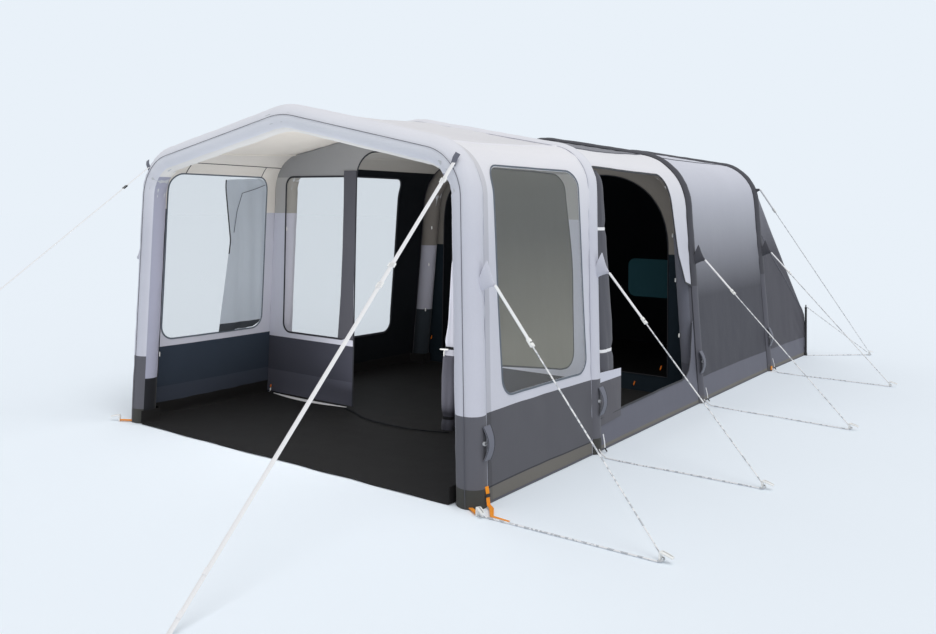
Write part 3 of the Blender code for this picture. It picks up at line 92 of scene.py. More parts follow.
# Rope routes, repeated from the part's source
ROUTES = {
    "guy_1": [(1.4927, -2.8988, 1.1029), (1.9324, -2.9294, 0.5807), (2.3721, -2.9599, 0.0585),
              (2.4074, -2.9624, 0.0165), (2.4186, -2.9682, 0.0136), (2.4224, -2.9802, 0.0106),
              (2.4166, -2.9914, 0.0077), (2.4046, -2.9952, 0.0048), (2.3496, -2.9960, 0.0048),
              (1.9191, -3.0020, 0.0048), (1.4885, -3.0081, 0.0048)],
    "guy_2": [(1.5058, -1.6688, 1.1023), (1.9618, -1.6873, 0.5801), (2.4178, -1.7059, 0.0579),
              (2.4540, -1.7073, 0.0165), (2.4653, -1.7128, 0.0136), (2.4695, -1.7248, 0.0106),
              (2.4640, -1.7361, 0.0077), (2.4520, -1.7403, 0.0048), (2.3970, -1.7405, 0.0048),
              (1.9660, -1.7421, 0.0048), (1.5350, -1.7438, 0.0048), (1.4619, -1.6888, 0.0301)],
    "guy_3": [(1.4492, 0.1112, 1.1060), (1.9760, 0.0380, 0.5806), (2.5028, -0.0351, 0.0552),
              (2.5415, -0.0405, 0.0165), (2.5523, -0.0470, 0.0136), (2.5553, -0.0593, 0.0106),
              (2.5488, -0.0701, 0.0077), (2.5365, -0.0731, 0.0048), (2.4818, -0.0672, 0.0048),
              (2.0059, -0.0155, 0.0048), (1.5300, 0.0362, 0.0048), (1.4556, 0.0912, 0.0302)],
    "guy_4": [(1.4458, 1.8512, 1.1066), (1.9447, 1.8158, 0.5814), (2.4436, 1.7803, 0.0563),
              (2.4814, 1.7776, 0.0165), (2.4926, 1.7718, 0.0136), (2.4964, 1.7598, 0.0106),
              (2.4906, 1.7486, 0.0077), (2.4786, 1.7448, 0.0048), (2.4236, 1.7466, 0.0048),
              (1.9793, 1.7614, 0.0048), (1.5350, 1.7762, 0.0048), (1.4604, 1.8312, 0.0302)],
    "rear_guy": [(1.3401, 1.8512, 1.6997), (1.6700, 2.6200, 0.8757), (1.9998, 3.3888, 0.0518),
                 (2.0152, 3.4248, 0.0132), (2.0153, 3.4375, 0.0111), (2.0064, 3.4464, 0.0090),
                 (1.9937, 3.4465, 0.0069), (1.9848, 3.4376, 0.0048), (1.9451, 3.3995, 0.0048),
                 (1.7469, 3.2091, 0.0048), (1.5486, 3.0187, 0.0048), (1.4900, 2.9812, 0.0048)],
    "corner_guy": [(1.4881, 2.9812, 0.5000), (1.7341, 3.1975, 0.2680), (1.9802, 3.4138, 0.0360)],
}
STRAPS = {
    "storm_strap_right": ((1.2840, -2.9739, 1.7120), (1.3300, -4.6388, 0.0030), 2.385),
    "storm_strap_left": ((-1.2900, -2.9640, 1.7250), (-1.7000, -4.8988, 0.0030), 2.620),
}
RINGS = {"right": ((1.3307, -4.6650, 0.0030), -1.5432), "left": ((-1.7054, -4.9244, 0.0030), -1.7796)}
RING_RADIUS, RING_WIRE = 0.022, 0.003
PEGS = {
    "peg_1": ((2.4060, -2.9788), -0.0874),
    "peg_2": ((2.4530, -1.7238), -0.058),
    "peg_3": ((2.5390, -0.0568), -0.153),
    "peg_4": ((2.4800, 1.7612), -0.0868),
    "peg_rear": ((2.0000, 3.4312), 1.1752),
    "peg_front_right": ((1.4830, -3.0048), -0.5351),
    "peg_front_left": ((-1.4830, -3.0048), -2.6065),
}
ROPE_PEGS = {"guy_1": "peg_front_right", "corner_guy": "peg_rear"}
TENSIONER_SHARES = {1: 0.25, 2: 0.26, 3: 0.22, 4: 0.17}
BUCKLE_SHARE, REAR_LOCK_SHARE = 0.29, 0.12


def vec(*numbers):
    return np.array(numbers, float)


def unit(vector):
    vector = np.asarray(vector, float)
    return vector / np.maximum(np.linalg.norm(vector, axis=-1, keepdims=True), 1e-12)


def add_object(name, data):
    made = bpy.data.objects.new(name, data)
    bpy.context.scene.collection.objects.link(made)
    return made


def linear(colour):
    """A colour of 0 to 255 in linear light."""
    shares = [value / 255 for value in colour]
    return tuple(s / 12.92 if s <= 0.04045 else ((s + 0.055) / 1.055) ** 2.4 for s in shares)


def add_camera():
    forward = Vector((math.sin(YAW) * math.cos(PITCH), math.cos(YAW) * math.cos(PITCH), math.sin(PITCH)))
    level = Vector((math.cos(YAW), -math.sin(YAW), 0))
    above = level.cross(forward)
    right = math.cos(ROLL) * level + math.sin(ROLL) * above
    up = math.cos(ROLL) * above - math.sin(ROLL) * level
    data = bpy.data.cameras.new("camera")
    data.sensor_width = SENSOR
    data.lens = SENSOR * FOCAL_PIXELS / PHOTO_WIDTH
    data.shift_x = (PHOTO_WIDTH / 2 - PRINCIPAL[0]) / PHOTO_WIDTH
    data.shift_y = (PRINCIPAL[1] - PHOTO_HEIGHT / 2) / PHOTO_WIDTH
    data.clip_end = 200
    camera = add_object("camera", data)
    turned = Matrix((right, up, -forward)).transposed().to_4x4()
    camera.matrix_world = Matrix.Translation(CAMERA_PLACE) @ turned
    bpy.context.scene.camera = camera


add_camera()


# ---- materials


def new_material(name):
    made = bpy.data.materials.new(name)
    made.use_nodes = True
    return made, made.node_tree, made.node_tree.nodes["Principled BSDF"]


def object_place(tree):
    return tree.nodes.new("ShaderNodeTexCoord").outputs["Object"]


def feed(tree, socket, value):
    """Puts a number, a colour or another node's output on a socket."""
    if isinstance(value, bpy.types.NodeSocket):
        tree.links.new(value, socket)
    else:
        socket.default_value = (*value, 1) if isinstance(value, tuple) else value


def math_node(tree, operation, first, second):
    node = tree.nodes.new("ShaderNodeMath")
    node.operation = operation
    feed(tree, node.inputs[0], first)
    feed(tree, node.inputs[1], second)
    return node.outputs[0]


def mix_colours(tree, share, first, second):
    node = tree.nodes.new("ShaderNodeMix")
    node.data_type = "RGBA"
    for place, value in ((0, share), (6, first), (7, second)):
        feed(tree, node.inputs[place], value)
    return node.outputs[2]


def bump_node(tree, height, strength, distance):
    node = tree.nodes.new("ShaderNodeBump")
    node.inputs["Strength"].default_value = strength
    node.inputs["Distance"].default_value = distance
    tree.links.new(height, node.inputs["Height"])
    return node


def blend_shaders(tree, share, first, second, output="Material Output"):
    """Shows the second shader over the first by a share."""
    blend = tree.nodes.new("ShaderNodeMixShader")
    feed(tree, blend.inputs[0], share)
    tree.links.new(first.outputs[0], blend.inputs[1])
    tree.links.new(second.outputs[0], blend.inputs[2])
    tree.links.new(blend.outputs[0], tree.nodes[output].inputs["Surface"])


def noise_node(tree, place, scale, stretch=(1, 1, 1), detail=2.0):
    spread = tree.nodes.new("ShaderNodeMapping")
    spread.inputs["Scale"].default_value = stretch
    tree.links.new(place, spread.inputs["Vector"])
    node = tree.nodes.new("ShaderNodeTexNoise")
    node.inputs["Scale"].default_value = scale
    node.inputs["Detail"].default_value = detail
    tree.links.new(spread.outputs[0], node.inputs["Vector"])
    return node.outputs["Fac"]


def cloth(name, bands, rough=0.8, sheen=0.10, see=0.0, weave=0.5, mottle=0.10, crease=0.0, height_ramp=None,
          valley_shade=None):
    """Woven cloth: bands are (from this height up, colour), and height_ramp is (low, high, colour reached
    there): a smooth change of colour with height, which on the walls, the fascia and the covers is painted
    light, lighter where the cloth turns up to the light above.

    A valley_shade is a stretch along the tent where the cloth is painted a shade darker: painted shade in the
    hollow beside a sleeve.
    """
    made, tree, shader = new_material(name)
    place = object_place(tree)
    colour = linear(bands[0][1])
    if len(bands) > 1 or height_ramp or valley_shade:
        axes = tree.nodes.new("ShaderNodeSeparateXYZ")
        tree.links.new(place, axes.inputs[0])
        for height, shade in bands[1:]:
            above = math_node(tree, "GREATER_THAN", axes.outputs["Z"], height)
            colour = mix_colours(tree, above, colour, linear(shade))
    # painted light on the walls, fascia and covers: the colour eases with height towards the ramp's colour
    if height_ramp:
        share = tree.nodes.new("ShaderNodeMapRange")
        share.inputs["From Min"].default_value, share.inputs["From Max"].default_value = height_ramp[:2]
        tree.links.new(axes.outputs["Z"], share.inputs["Value"])
        colour = mix_colours(tree, share.outputs["Result"], colour, linear(height_ramp[2]))
    fine = noise_node(tree, place, 260.0)
    broad = noise_node(tree, place, 2.6, detail=4.0)
    both = math_node(tree, "ADD", math_node(tree, "MULTIPLY", fine, 0.6),
                     math_node(tree, "MULTIPLY", broad, 0.4))
    gain = math_node(tree, "ADD", math_node(tree, "MULTIPLY", both, 2 * mottle), 1.0 - mottle)
    # painted shade: the cloth about a fifth darker along a stretch of the tent, for the hollow beside a sleeve
    if valley_shade:
        past = math_node(tree, "GREATER_THAN", axes.outputs["Y"], valley_shade[0])
        before = math_node(tree, "LESS_THAN", axes.outputs["Y"], valley_shade[1])
        painted_shade = math_node(tree, "MULTIPLY", math_node(tree, "MULTIPLY", past, before), 0.20)
        gain = math_node(tree, "SUBTRACT", gain, painted_shade)
    tint = tree.nodes.new("ShaderNodeVectorMath")
    tint.operation = "SCALE"
    if isinstance(colour, tuple):
        tint.inputs[0].default_value = colour
    else:
        tree.links.new(colour, tint.inputs[0])
    tree.links.new(gain, tint.inputs["Scale"])
    tree.links.new(tint.outputs[0], shader.inputs["Base Color"])
    for socket, value in (("Roughness", rough), ("Specular IOR Level", 0.22), ("Sheen Weight", sheen),
                          ("Sheen Roughness", 0.45)):
        shader.inputs[socket].default_value = value
    warp = noise_node(tree, place, 900.0, (1, 0.08, 1))
    weft = noise_node(tree, place, 900.0, (0.08, 1, 0.08))
    bump = bump_node(tree, math_node(tree, "ADD", warp, weft), weave, 0.0004)
    if crease:
        folds = bump_node(tree, noise_node(tree, place, 9.0, (1, 1, 0.45), 5.0), crease, 0.012)
        tree.links.new(folds.outputs[0], bump.inputs["Normal"])
    tree.links.new(bump.outputs[0], shader.inputs["Normal"])
    if see:
        through = tree.nodes.new("ShaderNodeBsdfTranslucent")
        tree.links.new(tint.outputs[0], through.inputs["Color"])
        blend_shaders(tree, see, shader, through)
    return made


def moulded(name, colour, rough, metal=0.0):
    """Moulded plastic or wire with a fine uneven surface and slight wear."""
    made, tree, shader = new_material(name)
    place = object_place(tree)
    wear = noise_node(tree, place, 45.0, detail=4.0)
    base = linear(colour)
    pale = tuple(min(value * 1.25 + 0.01, 1.0) for value in base)
    tree.links.new(mix_colours(tree, wear, base, pale), shader.inputs["Base Color"])
    shader.inputs["Roughness"].default_value = rough
    shader.inputs["Metallic"].default_value = metal
    bump = bump_node(tree, noise_node(tree, place, 300.0), 0.4, 0.00012)
    tree.links.new(bump.outputs[0], shader.inputs["Normal"])
    return made


def film(name, colour, cover, crumple, clearness):
    """Clear window film: mostly see-through, with a soft gloss and faint creases."""
    made, tree, shader = new_material(name)
    place = object_place(tree)
    haze = noise_node(tree, place, 5.0, detail=3.0)
    base = linear(colour)
    pale = tuple(min(value * 1.15, 1.0) for value in base)
    tree.links.new(mix_colours(tree, haze, base, pale), shader.inputs["Base Color"])
    shader.inputs["Roughness"].default_value = 0.12
    bump = bump_node(tree, noise_node(tree, place, 7.0, (1, 1, 0.6), 3.0), crumple, 0.02)
    tree.links.new(bump.outputs[0], shader.inputs["Normal"])
    clear = tree.nodes.new("ShaderNodeBsdfTransparent")
    clear.inputs["Color"].default_value = (*clearness, 1)
    blend_shaders(tree, cover, clear, shader)
    return made


def rope_material(name, colour, fleck):
    """Braided rope: short dark flecks along it and a raised braid."""
    made, tree, shader = new_material(name)
    place = object_place(tree)
    spots = noise_node(tree, place, 60.0, detail=0.0)
    dark = math_node(tree, "GREATER_THAN", spots, 0.56)
    tree.links.new(mix_colours(tree, dark, linear(colour), linear(fleck)), shader.inputs["Base Color"])
    shader.inputs["Roughness"].default_value = 0.75
    bump = bump_node(tree, noise_node(tree, place, 420.0), 0.7, 0.0008)
    tree.links.new(bump.outputs[0], shader.inputs["Normal"])
    return made


LILAC, DARK, NAVY = (210, 211, 221), (92, 92, 98), (52, 61, 74)
MUD, TRIM, SKIRT = (112, 109, 104), (62, 62, 68), (101, 102, 113)
LINING, BLACK = (170, 166, 160), (16, 19, 23)
looks = {
    # Right porch wall: the lighter top is a painted highlight where the wall turns up to the light, and the
    # stretch just behind the front sleeve is painted shade in the hollow there.
    "porch_right": cloth("porch_right_cloth", ((0, MUD), (0.076, TRIM), (0.084, DARK), (0.450, LILAC)),
                         see=0.08, crease=0.3, height_ramp=(1.25, 1.80, (236, 236, 241)), valley_shade=(-2.86, -2.795)),
    "porch_inside": cloth("porch_inside_cloth", ((0, (64, 70, 83)), (0.200, NAVY), (0.480, (203, 204, 215)),
                                                 (1.42, (228, 223, 216))), see=0.15, crease=0.25),
    "porch_roof": cloth("porch_roof_cloth", ((0, (229, 229, 234)),), see=0.15, crease=0.2),
    "ceiling": cloth("ceiling_cloth", ((0, (236, 230, 221)),), see=0.25, crease=0.15),
    "lining": cloth("lining_cloth", ((0, LINING),), crease=0.2),
    # Front arch: lighter towards its top, a painted highlight where it turns up to the light.
    "fascia": cloth("fascia_cloth", ((0, (68, 68, 65)), (0.095, (98, 98, 105)), (0.450, (204, 205, 216))),
                    see=0.05, crease=0.3, height_ramp=(1.3, 1.85, (226, 227, 234))),
    "fascia_in": cloth("fascia_inside_cloth", ((0, (30, 31, 35)), (0.300, (160, 161, 178)),
                                               (1.66, (226, 224, 222))), crease=0.25),
    "dark": cloth("dark_cloth", ((0, MUD), (0.032, SKIRT)), rough=0.7, sheen=0.08, crease=0.3),
    # Bedroom cover: the dark cloth lightens from 0.8 m up, a painted sheen where the coated cloth turns up to
    # the light above.
    "cover": cloth("cover_cloth", ((0, MUD), (0.032, SKIRT), (0.185, (65, 65, 73))), rough=0.7, sheen=0.08,
                   crease=0.25, height_ramp=(0.80, 1.90, (206, 208, 219))),
    # Rear cover: lighter towards its top, a painted sheen from the light above, as on the bedroom cover.
    "rear": cloth("rear_cloth", ((0, MUD), (0.032, SKIRT), (0.185, (71, 70, 78))), rough=0.7, sheen=0.08,
                  crease=0.25, height_ramp=(1.10, 2.05, (150, 151, 161))),
    "dark_roof": cloth("dark_roof_cloth", ((0, (122, 122, 129)),), rough=0.7, sheen=0.08, crease=0.2),
    "dark_edge": cloth("dark_edge_cloth", ((0, (98, 97, 99)), (0.060, (90, 90, 98)), (0.90, (74, 74, 80))),
                       rough=0.7, sheen=0.08, crease=0.3),
    "black": cloth("black_cloth", ((0, BLACK),), rough=0.9, sheen=0.03, crease=0.3),
    "inner": cloth("inner_cloth", ((0, (26, 36, 44)), (1.13, (128, 124, 119))), rough=0.9, sheen=0.03,
                   crease=0.35),
    "living_inside": cloth("living_inside_cloth", ((0, BLACK), (1.80, LINING)), rough=0.9, sheen=0.03,
                           crease=0.3),
    "mesh": cloth("mesh_cloth", ((0, (14, 42, 48)),), rough=0.9, sheen=0.03),
    "arch_in": cloth("arch_inside_cloth", ((0, (36, 38, 43)), (0.47, (190, 190, 202)), (1.42, (160, 157, 151))),
                     crease=0.2),
    "rear_arch_in": cloth("rear_arch_inside_cloth", ((0, (44, 50, 56)), (0.51, (164, 164, 176)),
                                                     (1.12, (120, 115, 110))), crease=0.2),
    "partition": cloth("partition_cloth", ((0, (84, 85, 97)), (0.19, (70, 71, 82)), (0.452, (212, 213, 225)),
                                           (1.42, (184, 183, 182)), (1.70, (156, 156, 157))),
                       see=0.1, crease=0.3),
    "floor": cloth("floor_cloth", ((0, (30, 29, 29)),), rough=0.75, sheen=0.0, weave=0.8, mottle=0.16,
                   crease=0.2),
    "corner": cloth("corner_cloth", ((0, (92, 91, 97)), (0.413, (204, 206, 218))), crease=0.4),
    "jamb": cloth("jamb_cloth", ((0, (92, 94, 104)), (0.30, (106, 108, 119)), (1.30, (122, 118, 114))),
                  crease=0.3),
    "blind": cloth("blind_cloth", ((0, (140, 135, 124)),), see=0.1, crease=0.45,
                   height_ramp=(0.75, 1.35, (89, 88, 86))),
    "curtain": cloth("curtain_cloth", ((0, (84, 88, 94)), (0.590, (208, 213, 219))), see=0.5, crease=0.4),
    "door": cloth("door_cloth", ((0, (82, 82, 89)),), rough=0.6, sheen=0.1, crease=0.5),
    "flap": cloth("flap_cloth", ((0, (108, 110, 121)),), rough=0.6, sheen=0.1, crease=0.3),
    "roll": cloth("roll_cloth", ((0, (78, 78, 87)), (0.50, (190, 191, 202))), crease=0.6),
    "webbing": cloth("webbing_cloth", ((0, (236, 236, 238)),), rough=0.7, weave=1.0),
    "black_webbing": cloth("black_webbing_cloth", ((0, (26, 26, 28)),), rough=0.7, weave=1.0),
    "orange": cloth("orange_webbing_cloth", ((0, (242, 150, 34)),), rough=0.6, weave=1.0),
    "tube": moulded("tube_film", (180, 182, 186), 0.35),
    "white_plastic": moulded("white_plastic_finish", (226, 226, 224), 0.4),
    "black_plastic": moulded("black_plastic_finish", (30, 30, 32), 0.4),
    "orange_plastic": moulded("orange_plastic_finish", (236, 120, 26), 0.4),
    "steel": moulded("steel_finish", (190, 190, 188), 0.35, 0.7),
    "rope": rope_material("rope_braid", (232, 232, 233), (186, 189, 194)),
    "pane": film("pane_clear", (205, 212, 216), 0.04, 0.08, (0.905, 0.910, 0.912)),
    "clear_pane": film("clear_pane_film", (205, 212, 216), 0.02, 0.08, (0.992, 0.992, 0.992)),
    "pane_right": film("pane_right_clear", (196, 194, 186), 0.08, 0.5, (0.93, 0.945, 0.95)),
}
for look, shade, rough in (("piping", (96, 104, 114), 0.6), ("seam", (48, 49, 54), 0.6),
                           ("grey_seam", (88, 89, 98), 0.7), ("white_seam", (228, 228, 234), 0.7),
                           ("pale_seam", (172, 173, 186), 0.7)):
    looks[look] = cloth(f"{look}_cloth", ((0, shade),), rough=rough)


# ---- mesh building


class Heap:
    """Points and faces of one piece, put together from several forms."""

    def __init__(self):
        self.points, self.faces, self.marks = [], [], []
        self.count = 0

    def add(self, points, faces, mark=0):
        points = np.asarray(points, float).reshape(-1, 3)
        self.points.append(points)
        self.faces += [tuple(corner + self.count for corner in face) for face in faces]
        self.marks += [mark] * len(faces)
        self.count += len(points)
        return self

    def piece(self, name, *materials, body="tent", replaces=(), slot=None, sharp=40):
        mesh = bpy.data.meshes.new(name)
        mesh.from_pydata(np.concatenate(self.points).tolist(), [], self.faces)
        for material in materials:
            mesh.materials.append(looks[material])
        if len(materials) > 1:
            mesh.polygons.foreach_set("material_index", self.marks)
        mesh.shade_smooth()
        mesh.set_sharp_from_angle(angle=math.radians(sharp))
        made = add_object(name, mesh)
        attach(made, body)
        if replaces:
            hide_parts(*replaces)
        return made


def turns_of(sides):
    return np.linspace(0, 2 * math.pi, sides, endpoint=False)


def circle(radius, sides):
    turns = turns_of(sides)
    return np.stack([radius * np.cos(turns), radius * np.sin(turns)], 1)


def flat_section(width, thickness):
    """A strap's section with its edges eased."""
    half, high = width / 2, thickness / 2
    ease = min(half, high) * 0.6
    return vec((half, high - ease), (half - ease, high), (0, high), (ease - half, high), (-half, high - ease),
               (-half, ease - high), (ease - half, -high), (0, -high), (half - ease, -high), (half, ease - high))


def flat_sections(widths, thickness):
    return np.array([flat_section(width, thickness) for width in widths])


def tube_faces(rings, size, closed=False):
    """Faces round a row of rings: joined end to end where closed, and otherwise with a cap at each end."""
    faces = []
    for ring in range(rings if closed else rings - 1):
        here, there = ring * size, (ring + 1) % rings * size
        faces += [(here + k, here + (k + 1) % size, there + (k + 1) % size, there + k) for k in range(size)]
    if not closed:
        faces += [tuple(reversed(range(size))), tuple(range((rings - 1) * size, rings * size))]
    return faces


def sweep(path, section, up=(0, 0, 1), closed=False):
    """Points and faces of a section carried along a path. The section's second axis leans towards up."""
    path = np.asarray(path, float)
    count = len(path)
    if closed:
        along = np.roll(path, -1, 0) - np.roll(path, 1, 0)
    else:
        along = np.gradient(path, axis=0)
    along = unit(along)
    aside = unit(np.cross(along, np.broadcast_to(np.asarray(up, float), path.shape)))
    above = np.cross(aside, along)
    section = np.asarray(section, float)
    if section.ndim == 2:
        section = np.broadcast_to(section, (count, *section.shape))
    rings = path[:, None] + aside[:, None] * section[..., :1] + above[:, None] * section[..., 1:]
    return rings.reshape(-1, 3), [face[::-1] for face in tube_faces(count, section.shape[1], closed)]


def resample(path, spacing, closed=False):
    """Points about evenly spaced along a line of straight runs, its corners kept."""
    path = np.asarray(path, float)
    ends = np.roll(path, -1, 0) if closed else path[1:]
    out = []
    for start, end in zip(path, ends):
        parts = max(1, math.ceil(np.linalg.norm(end - start) / spacing - 0.01))
        out += [start + (end - start) * part / parts for part in range(parts)]
    if not closed:
        out.append(path[-1])
    return np.array(out)


def lattice(x, y, seed):
    turn = np.sin(x * 127.1 + y * 311.7 + seed * 74.7) * 43758.5453
    return turn - np.floor(turn)


def ripple(x, y, seed):
    """Smooth noise from -1 to 1."""
    x, y = np.asarray(x, float), np.asarray(y, float)
    left, low = np.floor(x), np.floor(y)
    across, up = x - left, y - low
    across, up = across * across * (3 - 2 * across), up * up * (3 - 2 * up)
    bottom = lattice(left, low, seed) * (1 - across) + lattice(left + 1, low, seed) * across
    top = lattice(left, low + 1, seed) * (1 - across) + lattice(left + 1, low + 1, seed) * across
    return 2 * (bottom * (1 - up) + top * up) - 1


def ease(share):
    share = np.clip(share, 0, 1)
    return share * share * (3 - 2 * share)


def point_normals(points, faces):
    normals = np.zeros_like(points)
    for size in {len(face) for face in faces}:
        group = np.array([face for face in faces if len(face) == size])
        corners = points[group]
        first, second = corners[:, 1] - corners[:, 0], corners[:, 2] - corners[:, 0]
        spread = np.cross(first, second)
        if size > 3:
            spread += np.cross(second, corners[:, 3] - corners[:, 0])
        for corner in range(size):
            np.add.at(normals, group[:, corner], spread)
    return unit(normals)


def closed_sheet(points, faces, thickness, facing):
    """A thin closed sheet: its outer side turned towards facing, its inner side, and its edge."""
    points = np.asarray(points, float)
    normals = point_normals(points, faces)
    if (normals @ np.asarray(facing, float)).mean() < 0:
        faces = [tuple(reversed(face)) for face in faces]
        normals = -normals
    count = len(points)
    edges = {}
    for face in faces:
        for first, second in zip(face, face[1:] + face[:1]):
            edges[(first, second)] = 1
    rim = [edge for edge in edges if (edge[1], edge[0]) not in edges]
    inner = [tuple(corner + count for corner in reversed(face)) for face in faces]
    sides = [(second, first, first + count, second + count) for first, second in rim]
    marks = [0] * len(faces) + [1] * len(inner) + [0] * len(sides)
    return np.concatenate([points, points - normals * thickness]), list(faces) + inner + sides, marks


def grid_faces(rows, columns):
    return [
        (row * columns + k, row * columns + k + 1, (row + 1) * columns + k + 1, (row + 1) * columns + k)
        for row in range(rows - 1)
        for k in range(columns - 1)
    ]


def within(points, loop):
    """Which points lie inside a closed outline."""
    x, y = points.T
    found = np.zeros(len(points), bool)
    for (x0, y0), (x1, y1) in zip(loop, np.roll(loop, -1, 0)):
        if y0 != y1:
            found ^= ((y0 > y) != (y1 > y)) & (x < (x1 - x0) * (y - y0) / (y1 - y0) + x0)
    return found


def fill(outline, holes, spacing):
    """Triangles inside an outline and outside its holes, in flat coordinates."""
    loops = [resample(loop, spacing, closed=True) for loop in (outline, *holes)]
    edge = np.concatenate(loops)
    links, first = [], 0
    for loop in loops:
        count = len(loop)
        links += [(first + k, first + (k + 1) % count) for k in range(count)]
        first += count
    low, high = edge.min(0), edge.max(0)
    across = np.arange(low[0] + spacing / 2, high[0], spacing)
    up = np.arange(low[1] + spacing / 2, high[1], spacing)
    grid = np.array([(x + (row % 2) * spacing / 2, y) for row, y in enumerate(up) for x in across])
    keep = within(grid, loops[0])
    for loop in loops[1:]:
        keep &= ~within(grid, loop)
    grid = grid[keep]
    near = np.array([((edge - spot) ** 2).sum(1).min() for spot in grid]) if len(grid) else np.zeros(0)
    grid = grid[near > (0.55 * spacing) ** 2]
    flat = [Vector(spot) for spot in np.concatenate([edge, grid])]
    result = delaunay_2d_cdt(flat, links, [], 0, 1e-7)
    points = np.array([tuple(spot) for spot in result[0]])
    faces = [tuple(face) for face in result[2]]
    centres = np.array([points[list(face)].mean(0) for face in faces])
    keep = within(centres, loops[0])
    for loop in loops[1:]:
        keep &= ~within(centres, loop)
    faces = [face for face, kept in zip(faces, keep) if kept]
    used = sorted({corner for face in faces for corner in face})
    order = {corner: place for place, corner in enumerate(used)}
    return points[used], [tuple(order[corner] for corner in face) for face in faces]


ROUND_STEPS = 8
QUARTER = [math.pi / 2 * step / ROUND_STEPS for step in range(ROUND_STEPS + 1)]


def rounded(left, right, low, high, radius):
    """An upright rectangle with rounded corners, from its upper right corner round by the left."""
    corners = ((right, high, -1, -1, 0), (left, high, 1, -1, 1), (left, low, 1, 1, 2), (right, low, -1, 1, 3))
    points = []
    for x, y, inward, up, quarter in corners:
        for step in range(ROUND_STEPS + 1):
            turn = math.pi / 2 * (quarter + step / ROUND_STEPS)
            points.append((x + inward * radius + radius * math.cos(turn),
                           y + up * radius + radius * math.sin(turn)))
    return np.array(points)


# ---- the tent's own surfaces


class Arch:
    """An arch's outer line across the tent at fine stations, with the way in from it at each."""

    def __init__(self, back, foot, corner, corner_height, apex, shoulder):
        self.y = back - MIDDLE
        leg = unit((corner - foot, corner_height))
        slope = unit((-corner, apex - corner_height))
        leg_in, slope_in = vec(-leg[1], leg[0]), vec(-slope[1], slope[0])
        turn = math.acos(leg @ slope)
        bend = vec(corner, corner_height) - leg * shoulder * math.tan(turn / 2)
        centre = bend + leg_in * shoulder
        points, inward = [], []
        for step in range(LEG):
            points.append(vec(foot, 0) + (bend - vec(foot, 0)) * step / LEG)
            inward.append(leg_in)
        start = math.atan2(-leg_in[1], -leg_in[0])
        for step in range(SHOULDER + 1):
            out = vec(math.cos(start + turn * step / SHOULDER), math.sin(start + turn * step / SHOULDER))
            points.append(centre + shoulder * out)
            inward.append(-out)
        half = math.atan2(apex - corner_height, corner)
        hub = vec(0, apex) - slope * RIDGE_ROUND * math.tan(half) + slope_in * RIDGE_ROUND
        turns = [math.pi / 2 - half + half * step / RIDGE for step in range(RIDGE + 1)]
        ridge = [hub + RIDGE_ROUND * vec(math.cos(angle), math.sin(angle)) for angle in turns]
        for step in range(1, SLOPE):
            points.append(points[TOP] + (ridge[0] - points[TOP]) * step / SLOPE)
            inward.append(slope_in)
        points += ridge
        inward += [-vec(math.cos(angle), math.sin(angle)) for angle in turns]
        mirror = vec(-1, 1)
        self.points = np.array(points + [spot * mirror for spot in reversed(points[:-1])])
        self.inward = np.array(inward + [way * mirror for way in reversed(inward[:-1])])
        self.height = bend[1]

    def at(self, u, down=0.0):
        """Points (x, z) at stations, a distance in from the outer line."""
        u = np.asarray(u, float)
        places = np.arange(LAST + 1)
        spot = np.stack([np.interp(u, places, self.points[:, k]) for k in (0, 1)], -1)
        way = np.stack([np.interp(u, places, self.inward[:, k]) for k in (0, 1)], -1)
        found = spot + unit(way) * np.asarray(down, float)[..., None]
        found[..., 1] = np.maximum(found[..., 1], 0)
        return found


A1 = Arch(0.0, 1.455, 1.388, 1.810, 2.100, 0.350)
A2 = Arch(1.230, 1.460, 1.405, 1.860, 2.120, 0.300)
A3 = Arch(3.010, 1.455, 1.310, 1.900, 2.120, 0.480)
A4 = Arch(4.750, 1.460, 1.300, 1.905, 2.125, 0.400)
REAR_EDGE = Arch(5.910, 1.485, 1.475, 0.490, 0.505, 0.090)
INNER_REAR = Arch(5.580, 1.250, 1.240, 0.620, 0.640, 0.150)


